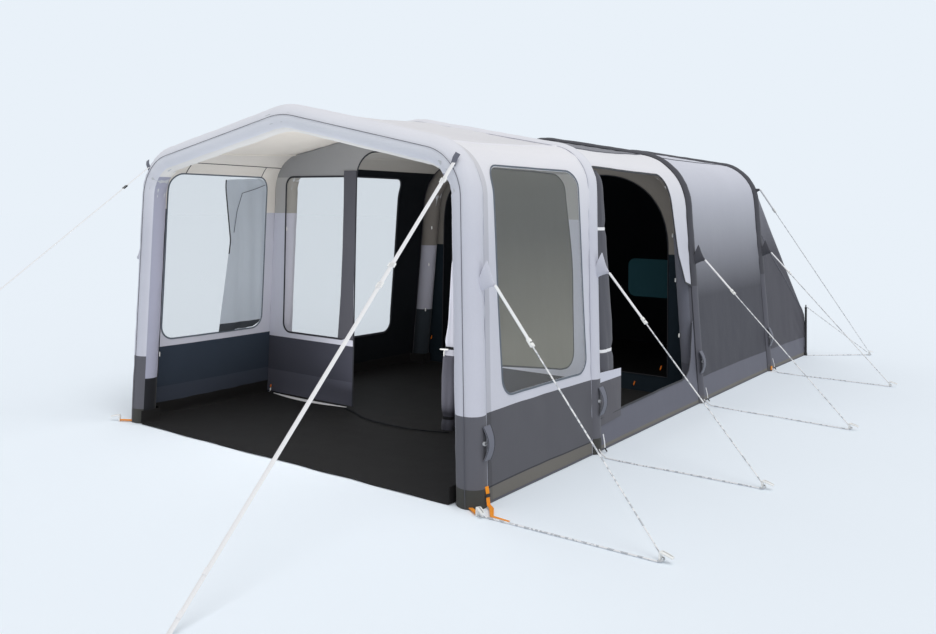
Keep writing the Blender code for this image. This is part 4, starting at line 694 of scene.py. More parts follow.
class Bay:
    """The cloth between two arches."""

    def __init__(self, front, rear, sag, seed):
        self.front, self.rear, self.sag, self.seed = front, rear, sag, seed
        self.start = front.y + FIT_ASIDE
        self.end = rear.y if rear is REAR_EDGE else rear.y - FIT_ASIDE

    def share(self, y):
        return np.clip((np.asarray(y, float) - self.start) / (self.end - self.start), 0, 1)

    def wave(self, y, u, z):
        """Pulls, pleats by the sleeves and low buckles, as a small distance out."""
        w = np.minimum(u, LAST - u) * STEP
        edge = np.minimum(y - self.start, self.end - y)
        high = u * STEP
        out = 0.0040 * ripple(y * 2.3, high * 1.4, self.seed)
        out += 0.0020 * ripple(y * 8.5, high * 1.9, self.seed + 1)
        out += 0.0030 * np.exp(-np.maximum(edge, 0) / 0.045) * ripple(y * 4, high * 17, self.seed + 2)
        out += 0.0035 * ease((0.52 - z) / 0.1) * ripple(y * 7 + high * 2, high * 4.5, self.seed + 3)
        out += 0.0022 * np.exp(-(((w - 0.47) / 0.03) ** 2)) * ripple(y * 21, high, self.seed + 4)
        out = out * ease(np.minimum(w, 0.2) / 0.05 + 0.25)
        return np.where(out < 0, out * (1 - 0.9 * ease((0.20 - w) / 0.05)), out)

    def at(self, y, u, down=SHEET_DEPTH, side=1, waves=True):
        y, u = np.broadcast_arrays(np.asarray(y, float), np.asarray(u, float))
        share = self.share(y)
        hang = down + 4 * share * (1 - share) * self.sag * ease(u / 3) * ease((LAST - u) / 3)
        near, far = self.front.at(u, hang), self.rear.at(u, hang)
        spot = near + (far - near) * share[..., None]
        if waves:
            way = self.front.at(u, hang + 0.01) - near
            spot = spot - unit(way) * self.wave(y, u, spot[..., 1])[..., None]
        return np.stack([side * spot[..., 0], y, np.maximum(spot[..., 1], 0.0)], -1)

    def station(self, y, z, down=SHEET_DEPTH):
        """The station of a height on the right half, at each y."""
        spots = np.arange(CREST + 1, dtype=float)
        out = []
        for place, height in zip(np.atleast_1d(y), np.atleast_1d(z)):
            line = self.at(np.full(CREST + 1, place), spots, down, waves=False)[:, 2]
            out.append(np.interp(height, line, spots))
        return np.array(out)


PORCH = Bay(A1, A2, 0.012, 11)
LIVING = Bay(A2, A3, 0.014, 23)
BEDROOM = Bay(A3, A4, 0.012, 37)
REAR = Bay(A4, REAR_EDGE, 0.006, 53)


def unrolled(grid):
    """The longest way along a grid of points and the longest way across it: the sheet's flat size."""
    along, across = (np.linalg.norm(np.diff(grid, axis=axis), axis=2).sum(axis).max() for axis in (0, 1))
    return along, across


def sheet_piece(name, points, faces, thickness, facing, materials, flat, held="stretched", mostly_doorway=False,
                **facts):
    """A sheet of cloth: flat, its largest extents before it was hung, is not used.
    """
    points, faces, marks = closed_sheet(points, faces, thickness, facing)
    heap = Heap().add(points, faces)
    heap.marks = marks
    heap.piece(name, *materials, **facts)


def grid_sheet(name, grid, thickness, facing, materials, flat=None, **facts):
    """A sheet from rows of points, whose flat size is measured on it where none is given."""
    grid = np.asarray(grid)
    sheet_piece(name, grid.reshape(-1, 3), grid_faces(*grid.shape[:2]), thickness, facing, materials,
                flat=flat or unrolled(grid), **facts)


def wall_loop(bay, outline, down=SHEET_DEPTH):
    """An outline of (y, z) as (y, distance along the wall)."""
    outline = resample(outline, 0.03, closed=True)
    return np.stack([outline[:, 0], bay.station(outline[:, 0], outline[:, 1], down) * STEP], 1)


def wall_panel(name, bay, side, outline, holes, materials, down=SHEET_DEPTH, thickness=0.002, spacing=0.026,
               **facts):
    """Cloth or film in a side wall, cut to an outline of (y, distance up the wall) with holes."""
    flat, faces = fill(outline, holes, spacing)
    points = bay.at(flat[:, 0], flat[:, 1] / STEP, down, side)
    spans = [np.linspace(low, high, 40) for low, high in zip(flat.min(0), flat.max(0))]
    y, up = np.meshgrid(*spans, indexing="ij")
    size = unrolled(bay.at(y, up / STEP, down, side))
    sheet_piece(name, points, faces, thickness, (side, 0, 0.1), materials, flat=size, **facts)


def whole_wall(bay):
    start, end, high = bay.start - TUCK, bay.end + TUCK, TOP * STEP
    return np.array([(start, 0), (end, 0), (end, high), (start, high)])


def window_line(front, rear, low, high, lean, grow=0.0):
    """A rounded window's outline, its foot shifted to the rear by its lean."""
    line = rounded(front - MIDDLE - grow, rear - MIDDLE + grow, low - grow, high + grow, WINDOW_ROUND + grow)
    line[:, 0] += lean * (high - line[:, 1]) / (high - low)
    return line


def band(bay, loop, side, down, section, lift=0.0):
    """A sewn band that follows an outline on a wall."""
    points = bay.at(loop[:, 0], loop[:, 1] / STEP, down - lift, side)
    return sweep(points, section, (side, 0, 0.05), closed=True)


def add_windows():
    """The side walls with windows: front, rear, foot, head and lean of each, its looks and its piping."""
    porch, living = ("porch_right", "porch_inside"), ("dark", "living_inside")
    windows = (
        ("right_porch", PORCH, 1, (0.158, 1.045, 0.510, 1.704, 0.070), porch, "pane_right", "piping", 0.011),
        ("left_porch", PORCH, -1, (0.150, 1.050, 0.534, 1.690, 0.0), porch, "pane", "piping", 0.011),
        ("left_living", LIVING, -1, (1.345, 2.580, 0.335, 1.735, 0.0), living, "pane", "seam", 0.016),
    )
    for name, bay, side, size, sides, pane, look, wide in windows:
        hole = wall_loop(bay, window_line(*size))
        wall_panel(f"{name}_wall_cloth", bay, side, whole_wall(bay), [hole], sides,
                   replaces=(f"wall_{name}",), slot="light_fabric" if bay is PORCH else "dark_fabric")
        glass = wall_loop(bay, window_line(*size, 0.008))
        wall_panel(f"{name}_window_film", bay, side, glass, [], (pane,), down=PANE_DEPTH,
                   thickness=0.0006, spacing=0.05, replaces=(f"pane_{name}",), slot="pane_film")
        frame_line = wall_loop(bay, window_line(*size, 0.006))
        heap = Heap()
        for lift in (0.0012, -0.003):
            heap.add(*band(bay, frame_line, side, SHEET_DEPTH, flat_section(wide, 0.004), lift))
        heap.piece(f"{name}_window_piping", look, slot="dark_fabric")


def roof_piece(name, bay, first, last, materials, rows, step=1, **facts):
    """A roof's cloth between two arches, over stations first to last."""
    ys = np.linspace(bay.start - TUCK, bay.end if bay is REAR else bay.end + TUCK, rows)
    stations = np.minimum(np.arange(first, last + step, step, dtype=float), last)
    grid = bay.at(*np.meshgrid(ys, stations, indexing="ij"))
    grid_sheet(name, grid, 0.002, (0, 0, 1), materials, **facts)


def add_roofs():
    roof_piece("porch_roof_cloth", PORCH, TOP, LAST - TOP, ("porch_roof", "ceiling"), 44,
               replaces=("roof_porch",), slot="light_fabric")
    roof_piece("living_roof_cloth", LIVING, TOP, LAST - TOP, ("dark_roof", "lining"), 62,
               replaces=("roof_living",), slot="dark_fabric")
    roof_piece("bedroom_cover_cloth", BEDROOM, 0, LAST, ("cover", "black"), 58, step=2,
               replaces=("bedroom_cover",), slot="dark_fabric")


# ---- arches


def add_sleeve(number, arch, cloths, seed):
    """A sleeve puckered at its shoulders, with its outer and inner cloth.

    The front arch's inner cloth starts behind its face, and the third's differs beside the side door.
    """
    turns = turns_of(SLEEVE_SIDES)
    across, down = SLEEVE_HALF * np.cos(turns), SLEEVE_DEPTH / 2 - SLEEVE_DEPTH / 2 * np.sin(turns)
    stations = np.arange(LAST + 1, dtype=float)
    u, turn = np.meshgrid(stations, turns, indexing="ij")
    inner = (1 - np.sin(turn)) / 2
    w = np.minimum(u, LAST - u)
    bend = np.exp(-(((w - LEG - SHOULDER / 2) / 9) ** 2)) + 0.5 * np.exp(-(((u - CREST) / 6) ** 2))
    swell = 0.0014 * ripple(u * 0.35, turn * 1.2, seed) + 0.0012 * ripple(u * 0.12, turn * 3.5, seed + 1)
    swell += 0.0055 * bend * (0.35 + inner) * ripple(u * 1.5, turn * 0.8, seed + 2)
    swell += 0.0016 * np.exp(-w / 2.0) * ripple(u, turn * 5.0, seed + 3)
    grow = 1 + (swell - 0.0012) / SLEEVE_HALF
    side = across[None, :] * grow
    depth = SLEEVE_DEPTH / 2 + (down[None, :] - SLEEVE_DEPTH / 2) * grow
    line = arch.at(u, depth)
    points = np.stack([line[..., 0], arch.y + side, line[..., 1]], -1).reshape(-1, 3)
    deep = (down + np.roll(down, -1)) / 2
    inner = deep > OUTER_CLOTH_DEPTH
    if number == 1:
        inner &= np.cos(turns) > np.where(deep < SLEEVE_DEPTH / 2, 0.0, FACE_BACK)
    marks = []
    for ring in range(LAST):
        marks += [int(mark) * (2 if number == 3 and ring < CREST else 1) for mark in inner]
    heap = Heap().add(points, [face[::-1] for face in tube_faces(LAST + 1, len(turns))])
    heap.marks = marks + [0, 0]
    slot = "dark_fabric" if number > 2 else "light_fabric"
    heap.piece(f"sleeve_{number}_cloth", *cloths, replaces=(f"sleeve_{number}",), slot=slot, sharp=60)


def arch_cord(arch, aside, down, radius):
    """Piping that follows an arch from foot to foot."""
    stations = np.arange(LAST + 1, dtype=float)
    line = arch.at(stations, np.full(len(stations), down))
    path = np.stack([line[:, 0], np.full(len(stations), arch.y + aside), line[:, 1]], 1)
    return sweep(path, circle(radius, 8), (0, 1, 0))


def add_arches():
    styles = (("fascia", "fascia_in"), ("fascia", "arch_in"), ("dark_edge", "rear_arch_in", "jamb"),
              ("dark_edge", "black"))
    for number, (arch, style) in enumerate(zip((A1, A2, A3, A4), styles), 1):
        add_sleeve(number, arch, style, 60 + 7 * number)
        heap = Heap()
        for aside in (PIPING_ASIDE,) if number == 1 else (-PIPING_ASIDE, PIPING_ASIDE):
            heap.add(*arch_cord(arch, aside, PIPING_DOWN, 0.0018 if number < 3 else 0.0028))
        heap.piece(f"arch_{number}_piping", "pale_seam" if number < 3 else "seam", slot="dark_fabric")
    heap = Heap().add(*arch_cord(A1, -0.0755, 0.070, 0.0016))
    heap.piece("front_fascia_piping", "grey_seam", slot="dark_fabric")
    for number in range(1, 5):
        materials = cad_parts[f"air_tube_{number}"].data.materials
        materials.clear()
        materials.append(looks["tube"])


# ---- ropes and straps, made before the rest of the fittings


def smooth_route(points, steps):
    """Points along a smooth curve through a route's own points."""
    route = [Vector(point) for point in points]
    ends = [2 * route[0] - route[1]] + route + [2 * route[-1] - route[-2]]
    curve = []
    for place in range(1, len(ends) - 2):
        before, start, end, after = ends[place - 1 : place + 3]
        length = (end - start).length
        first = (end - before) * length / ((start - before).length + length)
        last = (after - start) * length / ((after - end).length + length)
        count = steps if length < 0.066 else 2
        for step in range(count):
            s = step / count
            q, c = s * s, s * s * s
            curve.append(start * (2 * c - 3 * q + 1) + first * (c - 2 * q + s)
                         + end * (3 * q - 2 * c) + last * (c - q))
    return curve + [route[-1]]


def add_rope(name, route):
    curve = bpy.data.curves.new(f"{name}_rope", "CURVE")
    curve.dimensions = "3D"
    curve.bevel_depth = ROPE_RADIUS
    curve.bevel_resolution = 3
    curve.use_fill_caps = True
    points = smooth_route(route, 5)
    spline = curve.splines.new("POLY")
    spline.points.add(len(points) - 1)
    for place, point in zip(spline.points, points):
        place.co = (*point, 1)
    rope = add_object(f"{name}_rope", curve)
    curve.materials.append(looks["rope"])
    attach(rope, "tent")
    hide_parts(name)
    return rope


def along_route(route, share):
    """A point on a route's straight first run, and the way along it."""
    start, end = np.array(route[0]), np.array(route[2])
    return start + (end - start) * share, unit(end - start)


def above_of(along):
    """The way up square to a line."""
    return unit(np.cross(np.cross(along, (0, 0, 1)), along))


def add_peg_piece(name, place, turn):
    """A peg: a flat bar that comes out of the ground and bends into a long hooked head."""
    bends = [(0, 0.0), (0, 0.018), (0, 0.034), (0.004, 0.0405), (0.012, 0.041), (0.030, 0.0375), (0.050, 0.0325),
             (0.061, 0.0292)]
    path = [(place[0] + math.cos(turn) * a, place[1] + math.sin(turn) * a, z) for a, z in bends]
    widths = [1, 1, 1, 1.1, 1.15, 1.1, 1.0, 0.8]
    thicks = [0.0072] * 3 + [0.0100] * 5
    section = np.array([flat_section(0.0235 * wide, thick) for wide, thick in zip(widths, thicks)])
    up = [(math.cos(turn), math.sin(turn), 0)] * 3 + [(0, 0, 1)] * (len(bends) - 3)
    up[3] = (0.5 * math.cos(turn), 0.5 * math.sin(turn), 1)
    heap = Heap().add(*sweep(path, section, np.array(up) * vec(-1, -1, 1)), 0)
    rib = [(spot[0], spot[1], spot[2] + 0.0052) for spot in path[4:]]
    heap.add(*sweep(rib, flat_section(0.006, 0.003)), 1)
    return heap.piece(f"{name}_bar", "white_plastic", "steel", replaces=(name,), slot="steel", sharp=30)


def add_ring(word, centre, turn):
    path = [(centre[0] + x, centre[1] + y, centre[2]) for x, y in circle(RING_RADIUS, 36)]
    heap = Heap().add(*sweep(path, circle(RING_WIRE, 12), closed=True))
    out = vec(math.cos(turn), math.sin(turn), 0)
    stem = np.array(centre) - out * (RING_RADIUS + 0.001)
    heap.add(*sweep([stem - out * 0.006, stem + out * 0.006], circle(0.0036, 12)))
    return heap.piece(f"strap_ring_{word}_wire", "steel", replaces=(f"strap_ring_{word}",), slot="steel")


def ladder_lock(heap, centre, along, length, width, thick):
    """A webbing adjuster: two rails, end bars and a middle bar, open between them."""
    up = above_of(along)
    aside = np.cross(along, up)
    for edge in (-1, 1):
        rail = centre + aside * edge * (width / 2 - thick * 0.3)
        heap.add(*sweep([rail - along * length / 2, rail, rail + along * length / 2],
                        flat_section(thick * 0.6, thick), up))
    for place, size in ((-0.46, 0.8), (-0.02, 1.15), (0.44, 1.0)):
        for layer in (-1, 1):
            bar = centre + along * length * place + up * layer * thick * 0.36
            heap.add(*sweep([bar - aside * width * 0.46, bar + aside * width * 0.46],
                            flat_section(length * 0.12 * size, thick * 0.24), up))


def webbing_lock(heap, centre, along, length):
    """A lock that slides on doubled webbing: two rails and two plates round it, with ribs on the plates."""
    up = above_of(along)
    aside = np.cross(along, up)
    for edge in (-1, 1):
        rail = centre + aside * edge * 0.0117
        heap.add(*sweep([rail - along * length / 2, rail + along * length / 2],
                        flat_section(0.0024, 0.0130), up))
        plate = centre + up * edge * 0.0057
        heap.add(*sweep([plate - along * length * 0.44, plate + along * length * 0.44],
                        flat_section(0.0212, 0.0008), up))
        for place in (-0.44, -0.02, 0.42):
            bar = centre + along * length * place + up * edge * 0.0060
            heap.add(*sweep([bar - aside * 0.0112, bar + aside * 0.0112],
                            flat_section(length * 0.12, 0.0014), up), int(place == -0.02))


def add_guy_lock(number, route):
    """A guy's tensioner and the webbing from its gusset to it."""
    centre, along = along_route(route, TENSIONER_SHARES[number])
    heap = Heap()
    webbing_lock(heap, centre, along, 0.045)
    lock = heap.piece(f"guy_lock_{number}", "white_plastic", "black_plastic", body=f"tensioner_{number}",
                      replaces=(f"tensioner_{number}",), slot="white_plastic", sharp=30)
    start = np.array(route[0])
    spots = np.linspace(0.004, np.linalg.norm(centre - start) + 0.016, 14)
    sections = flat_sections(0.0195 + 0.0005 * np.sin(spots * 40), 0.0098)
    web = Heap().add(*sweep(start + along * spots[:, None], sections))
    return [lock, web.piece(f"guy_webbing_{number}", "webbing", slot="webbing", sharp=60)]


def add_rear_guy_lock(route):
    """The rear guy's fixed lock and the webbing up to it."""
    centre, along = along_route(route, REAR_LOCK_SHARE)
    heap = Heap()
    ladder_lock(heap, centre, along, 0.050, 0.026, 0.013)
    heap.add(*sweep([centre - along * 0.022, centre + along * 0.022], flat_section(0.020, 0.0096)))
    lock = heap.piece("rear_guy_lock", "white_plastic", slot="white_plastic", sharp=30)
    start = np.array(route[0])
    path = start + (centre - start) * np.linspace(0.02, 0.9, 10)[:, None]
    web = Heap().add(*sweep(path, flat_section(0.020, 0.0104)))
    return [lock, web.piece("rear_guy_webbing", "webbing", slot="webbing", sharp=60)]


def add_strap(name, start, end, length):
    """A storm strap with its ring, holder, locks and sewn loops. The right one has the sliding buckle."""
    word = name.rsplit("_", 1)[1]
    look = "black_plastic" if word == "left" else "white_plastic"
    ring = add_ring(word, *RINGS[word])
    start, end = np.array(start), np.array(end)
    along = unit(end - start)
    above = above_of(along)
    path = start + (end - start) * np.linspace(0, 1, 40)[:, None]
    heap = Heap().add(*sweep(path, flat_section(STRAP_WIDTH, STRAP_THICKNESS)))
    strap = heap.piece(f"{name}_webbing", "webbing", replaces=(name,), slot="webbing", sharp=60)
    shoulder = vec(0.022 * np.sign(start[0]), 0.004, 0.046)
    holder = [start + shoulder, start + shoulder * 0.5 + vec(0, -0.006, 0), start - shoulder * vec(0.3, 0, 0.3)]
    heap = Heap().add(*sweep(holder, flat_section(0.032, 0.0040), (0, -1, 0)))
    heap.piece(f"{name}_holder", "flap", slot="dark_fabric")
    heap = Heap()
    for share in (0.055, 0.34) if word == "right" else (0.08,):
        ladder_lock(heap, start + (end - start) * share, along, 0.030, 0.034, 0.009)
    for share in (0.90, 0.965):
        centre = start + (end - start) * share
        heap.add(*sweep([centre - along * 0.012 + above * 0.002, centre + along * 0.012 + above * 0.002],
                        flat_section(0.027, 0.0044), above), 1)
    with_pieces = [ring, heap.piece(f"{name}_locks", look, "webbing", slot=look, sharp=30)]
    if word == "right":
        heap = Heap()
        ladder_lock(heap, start + (end - start) * BUCKLE_SHARE, along, 0.022, 0.040, 0.010)
        with_pieces.append(heap.piece("storm_buckle_frame", "white_plastic", body="buckle",
                                      replaces=("storm_buckle",), slot="white_plastic", sharp=30))


def add_ropes():
    pegs = {name: add_peg_piece(name, *facts) for name, facts in PEGS.items()}
    for name, route in ROUTES.items():
        rope = add_rope(name, route)
        with_pieces = []
        if name[-1].isdigit():
            with_pieces = add_guy_lock(int(name[-1]), route)
        if name == "rear_guy":
            with_pieces = add_rear_guy_lock(route)
        if name in ROPE_PEGS:
            with_pieces.append(pegs[ROPE_PEGS[name]])
    for name, facts in STRAPS.items():
        add_strap(name, *facts)


add_ropes()
add_arches()
add_windows()
add_roofs()


# ---- side door surround and rear cover


def add_door_surround():
    start, end = LIVING.start - TUCK, LIVING.end + TUCK
    sill_line = [(y - MIDDLE, z) for y, z in ((2.920, 0.620), (2.880, 0.470), (2.847, 0.370), (2.790, 0.275),
                                              (2.720, 0.230), (2.650, 0.220))] + [(start, 0.200)]
    sill = wall_loop(LIVING, np.array([(start, 0), (end, 0), (end, 0.640)] + sill_line))
    wall_panel("door_sill_cloth", LIVING, 1, sill, [], ("dark", "black"), replaces=("door_sill",),
               slot="dark_fabric")
    head, corner, strip = 1.750, 0.110, 2.620 - MIDDLE
    curve = [(strip - corner + corner * math.cos(t), head - corner + corner * math.sin(t)) for t in QUARTER]
    below = [(end, 0.900), (2.835 - MIDDLE, 0.935), (2.725 - MIDDLE, 1.150)] + curve + [(start, head)]
    line = resample(below, 0.03)
    lower = np.stack([line[:, 0], LIVING.station(line[:, 0], line[:, 1]) * STEP], 1)
    outline = np.concatenate([lower, [(start, TOP * STEP), (end, TOP * STEP)]])
    wall_panel("door_header_cloth", LIVING, 1, outline, [], ("porch_right", "lining"),
               replaces=("door_header",), slot="light_fabric")
    points = LIVING.at(lower[:, 0], lower[:, 1] / STEP, SHEET_DEPTH - 0.002)
    heap = Heap().add(*sweep(points, flat_section(0.014, 0.006), (1, 0, 0.1)))
    ys, heights = resample(sill_line, 0.03).T
    points = LIVING.at(ys, LIVING.station(ys, heights), SHEET_DEPTH - 0.001)
    heap.add(*sweep(points, flat_section(0.014, 0.006), (1, 0, 0.1)))
    heap.piece("door_zip_edge", "seam", slot="dark_fabric")
    panel = np.array([(start, 0.150), (-1.310, 0.160), (-1.296, 0.330), (-1.294, 0.462), (start, 0.475)])
    panel = wall_loop(LIVING, panel)
    wall_panel("door_corner_panel", LIVING, 1, panel, [], ("corner", "black"), down=SHEET_DEPTH - 0.004,
               slot="dark_fabric")


def add_rear_cover():
    roof_piece("rear_cover_cloth", REAR, 0, LAST, ("rear", "black"), 44, step=2, replaces=("rear_cover",),
               slot="dark_fabric")
    edge = REAR.at(np.full(LAST // 2 + 1, REAR.end), np.arange(0, LAST + 1, 2, dtype=float))
    rows = []
    for share in np.linspace(0, 1, 14):
        row = edge * vec(1, 1, share)
        bulge = 0.004 * math.sin(math.pi * share) + 0.002 * ripple(row[:, 0] * 6, share * 5, 91)
        row[:, 1] = REAR.end - 0.004 + bulge * math.sin(math.pi * share)
        rows.append(row)
    grid_sheet("rear_end_cloth", rows, 0.002, (0, 1, 0), ("rear", "black"), flat=(2.97, 0.52),
               slot="dark_fabric")


add_door_surround()
add_rear_cover()


# ---- partition, inner tent and groundsheets


def upright_sheet(name, outline, holes, place, thickness, materials, spacing=0.030, **facts):
    """A sheet across the tent: outline and holes of (x, z), and place gives its y."""
    flat, faces = fill(outline, holes, spacing)
    points = np.stack([flat[:, 0], place(flat[:, 0], flat[:, 1]), flat[:, 1]], 1)
    sheet_piece(name, points, faces, thickness, (0, -1, 0), materials, flat=tuple(np.ptp(flat, axis=0)),
                **facts)


def line_ahead(line, place, gap):
    """A line of (x, z), a gap in front of the sheet whose y is given by place."""
    return np.stack([line[:, 0], place(*line.T) - gap, line[:, 1]], 1)


def partition_y(x, z):
    near_door = np.exp(-np.abs(x + 0.54) / 0.05) + np.exp(-np.abs(x - 0.41) / 0.05)
    low = ease((0.46 - z) / 0.2)
    wave = 0.5 + 0.5 * ripple(x * 4, z * 1.3, 5)
    return PARTITION_FRONT - 0.004 * wave - 0.003 * low * (1 + ripple(x * 14, z * 2, 6)) - 0.002 * near_door


def add_partition():
    y = PARTITION_FRONT + 0.002
    line = PORCH.at(np.full(LAST + 1, y), np.arange(LAST + 1, dtype=float), SHEET_DEPTH + 0.0052, waves=False)
    left, right, low, high, corner = -0.510, 0.380, 0.018, 1.880, 0.180
    line = [(x, z) for x, _, z in line if z > low + 0.001]
    notch = [(left, low)]
    notch += [(left + corner - corner * math.cos(t), high - corner + corner * math.sin(t)) for t in QUARTER]
    notch += [(right - corner + corner * math.sin(t), high - corner + corner * math.cos(t)) for t in QUARTER]
    notch += [(right, low)]
    outline = np.array([(line[0][0], low)] + line + [(line[-1][0], low)] + notch)
    window = rounded(-1.255, -0.575, 0.500, 1.700, 0.070)
    upright_sheet("partition_cloth", outline, [window], partition_y, 0.0016, ("partition", "partition"),
                  replaces=("partition",), slot="light_fabric", held="hung")
    pane = rounded(-1.261, -0.569, 0.494, 1.706, 0.070)
    upright_sheet("partition_window_film", pane, [], lambda x, z: partition_y(x, z) + 0.0005, 0.0006,
                  ("clear_pane",), spacing=0.06, replaces=("pane_partition",), slot="pane_film", held="hung")
    heap = Heap()
    loop = resample(rounded(-1.259, -0.571, 0.496, 1.704, 0.072), 0.03, closed=True)
    heap.add(*sweep(line_ahead(loop, partition_y, 0.0006), flat_section(0.014, 0.004), (0, -1, 0), closed=True))
    edge = resample(notch, 0.03)
    heap.add(*sweep(line_ahead(edge, partition_y, 0.0006), flat_section(0.012, 0.005), (0, -1, 0)))
    heap.piece("partition_edging", "seam", slot="dark_fabric")
    dark = resample([(-0.590, 0.500), (-0.574, 1.10), (-0.573, 1.745)], 0.03)
    widths = 0.124 + 0.006 * ripple(dark[:, 1] * 4, 1.0, 9) + 0.030 * ease((0.9 - dark[:, 1]) / 0.5)
    heap = Heap().add(*sweep(line_ahead(dark, partition_y, 0.0045), flat_sections(widths, 0.004), (0, -1, 0)))
    heap.piece("partition_mesh_strip", "door", slot="dark_fabric")
    # A pale bow-shaped strip on the floor at the partition's foot: painted light, for the light that shows
    # through the gap under the partition; the black line further back is a zip.
    foot = resample([(-1.340, 0.0075), (-0.560, 0.0075)], 0.03)
    bow = np.sin(math.pi * (foot[:, 0] + 1.34) / 0.78)
    path = np.stack([foot[:, 0], PARTITION_FRONT - 0.014 - 0.036 * bow, foot[:, 1]], 1)
    heap = Heap().add(*sweep(path, flat_sections(0.010 + 0.042 * bow, 0.0022)))
    zip_line = [(-0.545, -1.795), (-0.400, -1.850), (-0.250, -1.925), (-0.130, -1.958), (0.030, -1.970),
                (0.196, -1.963), (0.340, -1.925), (0.463, -1.873)]
    heap.add(*sweep([(x, y, 0.0105) for x, y in zip_line], flat_section(0.011, 0.0050)), 1)
    heap.piece("partition_foot_light_and_zip", "webbing", "black", slot="light_fabric")


def bedroom_door(side, far, power):
    """A bedroom doorway's outline: upright at the middle of the tent and curved over to its far side."""
    curve, top = 0.640, 1.140
    points = [(0.060, 0.140), (far, 0.140)]
    for step in range(17):
        turn = math.pi / 2 * step / 16
        across, up = (curve * size ** (2 / power) for size in (max(math.cos(turn), 0), math.sin(turn)))
        points.append((far - curve + across, top + up))
    points.append((0.060, 1.780))
    return np.array([(side * x, z) for x, z in points])


def inner_y(x, z):
    return INNER_FRONT + 0.0015 + 0.0012 * ripple(x * 3, z * 2, 71)


def add_inner_tent():
    line = A3.at(np.arange(LAST + 1, dtype=float), np.full(LAST + 1, 0.100))
    outline = np.array([(x, max(z, 0.0003)) for x, z in line])
    doors = [bedroom_door(1, 1.110, 2.3), bedroom_door(-1, 1.170, 4.0)]
    upright_sheet("inner_front_cloth", outline, doors, inner_y, 0.0016, ("inner", "black"),
                  replaces=("inner_front",), slot="inner_fabric", held="hung", mostly_doorway=True)
    heap = Heap()
    for door in doors:
        loop = resample(door, 0.03, closed=True)
        heap.add(*sweep(line_ahead(loop, inner_y, 0.002), circle(0.004, 6), (0, -1, 0), closed=True))
    heap.piece("inner_door_zips", "seam", slot="inner_fabric")
    upright_sheet("bedroom_door_mesh", rounded(0.760, 1.150, 0.775, 1.085, 0.060), [],
                  lambda x, z: np.full_like(x, INNER_FRONT + 0.004), 0.0010, ("mesh", "mesh"),
                  slot="inner_fabric", held="hung")
    rows = []
    sections = ((A3, 0.2005, 0.190), (A4, A4.y, 0.190), (INNER_REAR, INNER_REAR.y, 0.0))
    stations = np.arange(0, LAST + 1, 3, dtype=float)
    for (first, y0, d0), (last, y1, d1), count in zip(sections, sections[1:], (20, 12)):
        for step in range(count + (last is INNER_REAR)):
            share = step / count
            spot = first.at(stations, np.full(len(stations), d0)) * (1 - share)
            spot += last.at(stations, np.full(len(stations), d1)) * share
            y = y0 + (y1 - y0) * share
            sag = 0.010 * np.abs(ripple(stations * 0.12, y * 2.5, 83)) * math.sin(math.pi * share)
            rows.append(np.stack([spot[:, 0] * (1 - sag / 2), np.full(len(stations), y), spot[:, 1] - sag], 1))
    points = np.array(rows)
    points[..., 2] = np.maximum(points[..., 2], 0.001)
    grid_sheet("inner_shell_cloth", points, 0.0016, (0, 0, 1), ("black", "black"), replaces=("inner_shell",),
               slot="inner_fabric", held="hung")
    ends = [rows[-1] * vec(1, 1, share) + vec(0, 0.001 - 0.003, 0) for share in np.linspace(0.005, 1, 8)]
    grid_sheet("inner_end_cloth", ends, 0.0016, (0, 1, 0), ("black", "black"), flat=(2.50, 0.64),
               slot="inner_fabric", held="hung")
    y, x = np.meshgrid(np.linspace(0.21, 2.67, 40), np.linspace(-1.24, 1.24, 40), indexing="ij")
    z = 0.0032 + 0.0012 * (1 + ripple(x * 5, y * 5, 87))
    grid_sheet("inner_floor_cloth", np.stack([x, y, z], -1), 0.0014, (0, 0, 1), ("floor", "floor"),
               slot="floor_fabric", held="laid")


def groundsheet(name, bay, start, end, legs, seed):
    """A tray: its base on the ground, its lips up the walls and in round the legs."""
    rows = max(3, round((end - start) / 0.035))
    lip = vec(3.6, 2.8, 2.0, 1.2, 0.5)
    points = []
    for y in np.linspace(start, end, rows):
        side = bay.at(np.full(len(lip), y), lip, SHEET_DEPTH + 0.0056, waves=False)
        limit = math.inf
        for arch in legs:
            if abs(y - arch.y) < SLEEVE_HALF + 0.004:
                limit = arch.at(vec(2.0), vec(SLEEVE_DEPTH))[0][0] - 0.003
        x_lip = np.minimum(side[:, 0] + 0.0012 * ripple(y * 16, lip, seed), limit)
        z_lip = side[:, 2] + 0.004 * ripple(y * 9, 0.5, seed + 2)
        xs = np.linspace(1, -1, 74) * (min(side[-1, 0], limit) - 0.004)
        wave = 0.0012 * ripple(xs * 6, y * 6, seed) + 0.0010 * ripple(xs * 1.7, y * 14, seed + 1)
        front = np.exp(-(y - start) / 0.05) if bay is PORCH else 0
        z = 0.0035 + wave + front * 0.003 * (1 + ripple(xs * 9, 0, seed + 4))
        y_here = y + front * 0.008 * ripple(xs * 5, 1.0, seed + 5)
        right = np.stack([x_lip, np.full(len(lip), y), z_lip], 1)
        middle = np.stack([xs, np.broadcast_to(y_here, xs.shape), z], 1)
        points.append(np.concatenate([right, middle, (right * vec(-1, 1, 1))[::-1]]))
    width = unrolled(np.array(points))[1]
    grid_sheet(f"{name}_cloth", points, 0.0026, (0, 0, 1), ("floor", "floor"), flat=(width, end - start),
               replaces=(name,), slot="floor_fabric", held="laid")


add_partition()
add_inner_tent()
groundsheet("groundsheet_porch", PORCH, A1.y - 0.075, PARTITION_FRONT - 0.0005, (A1,), 41)
groundsheet("groundsheet_living", LIVING, PARTITION_FRONT + 0.0045, INNER_FRONT - 0.0003, (A2, A3), 47)


# ---- blind, curtain and rolls


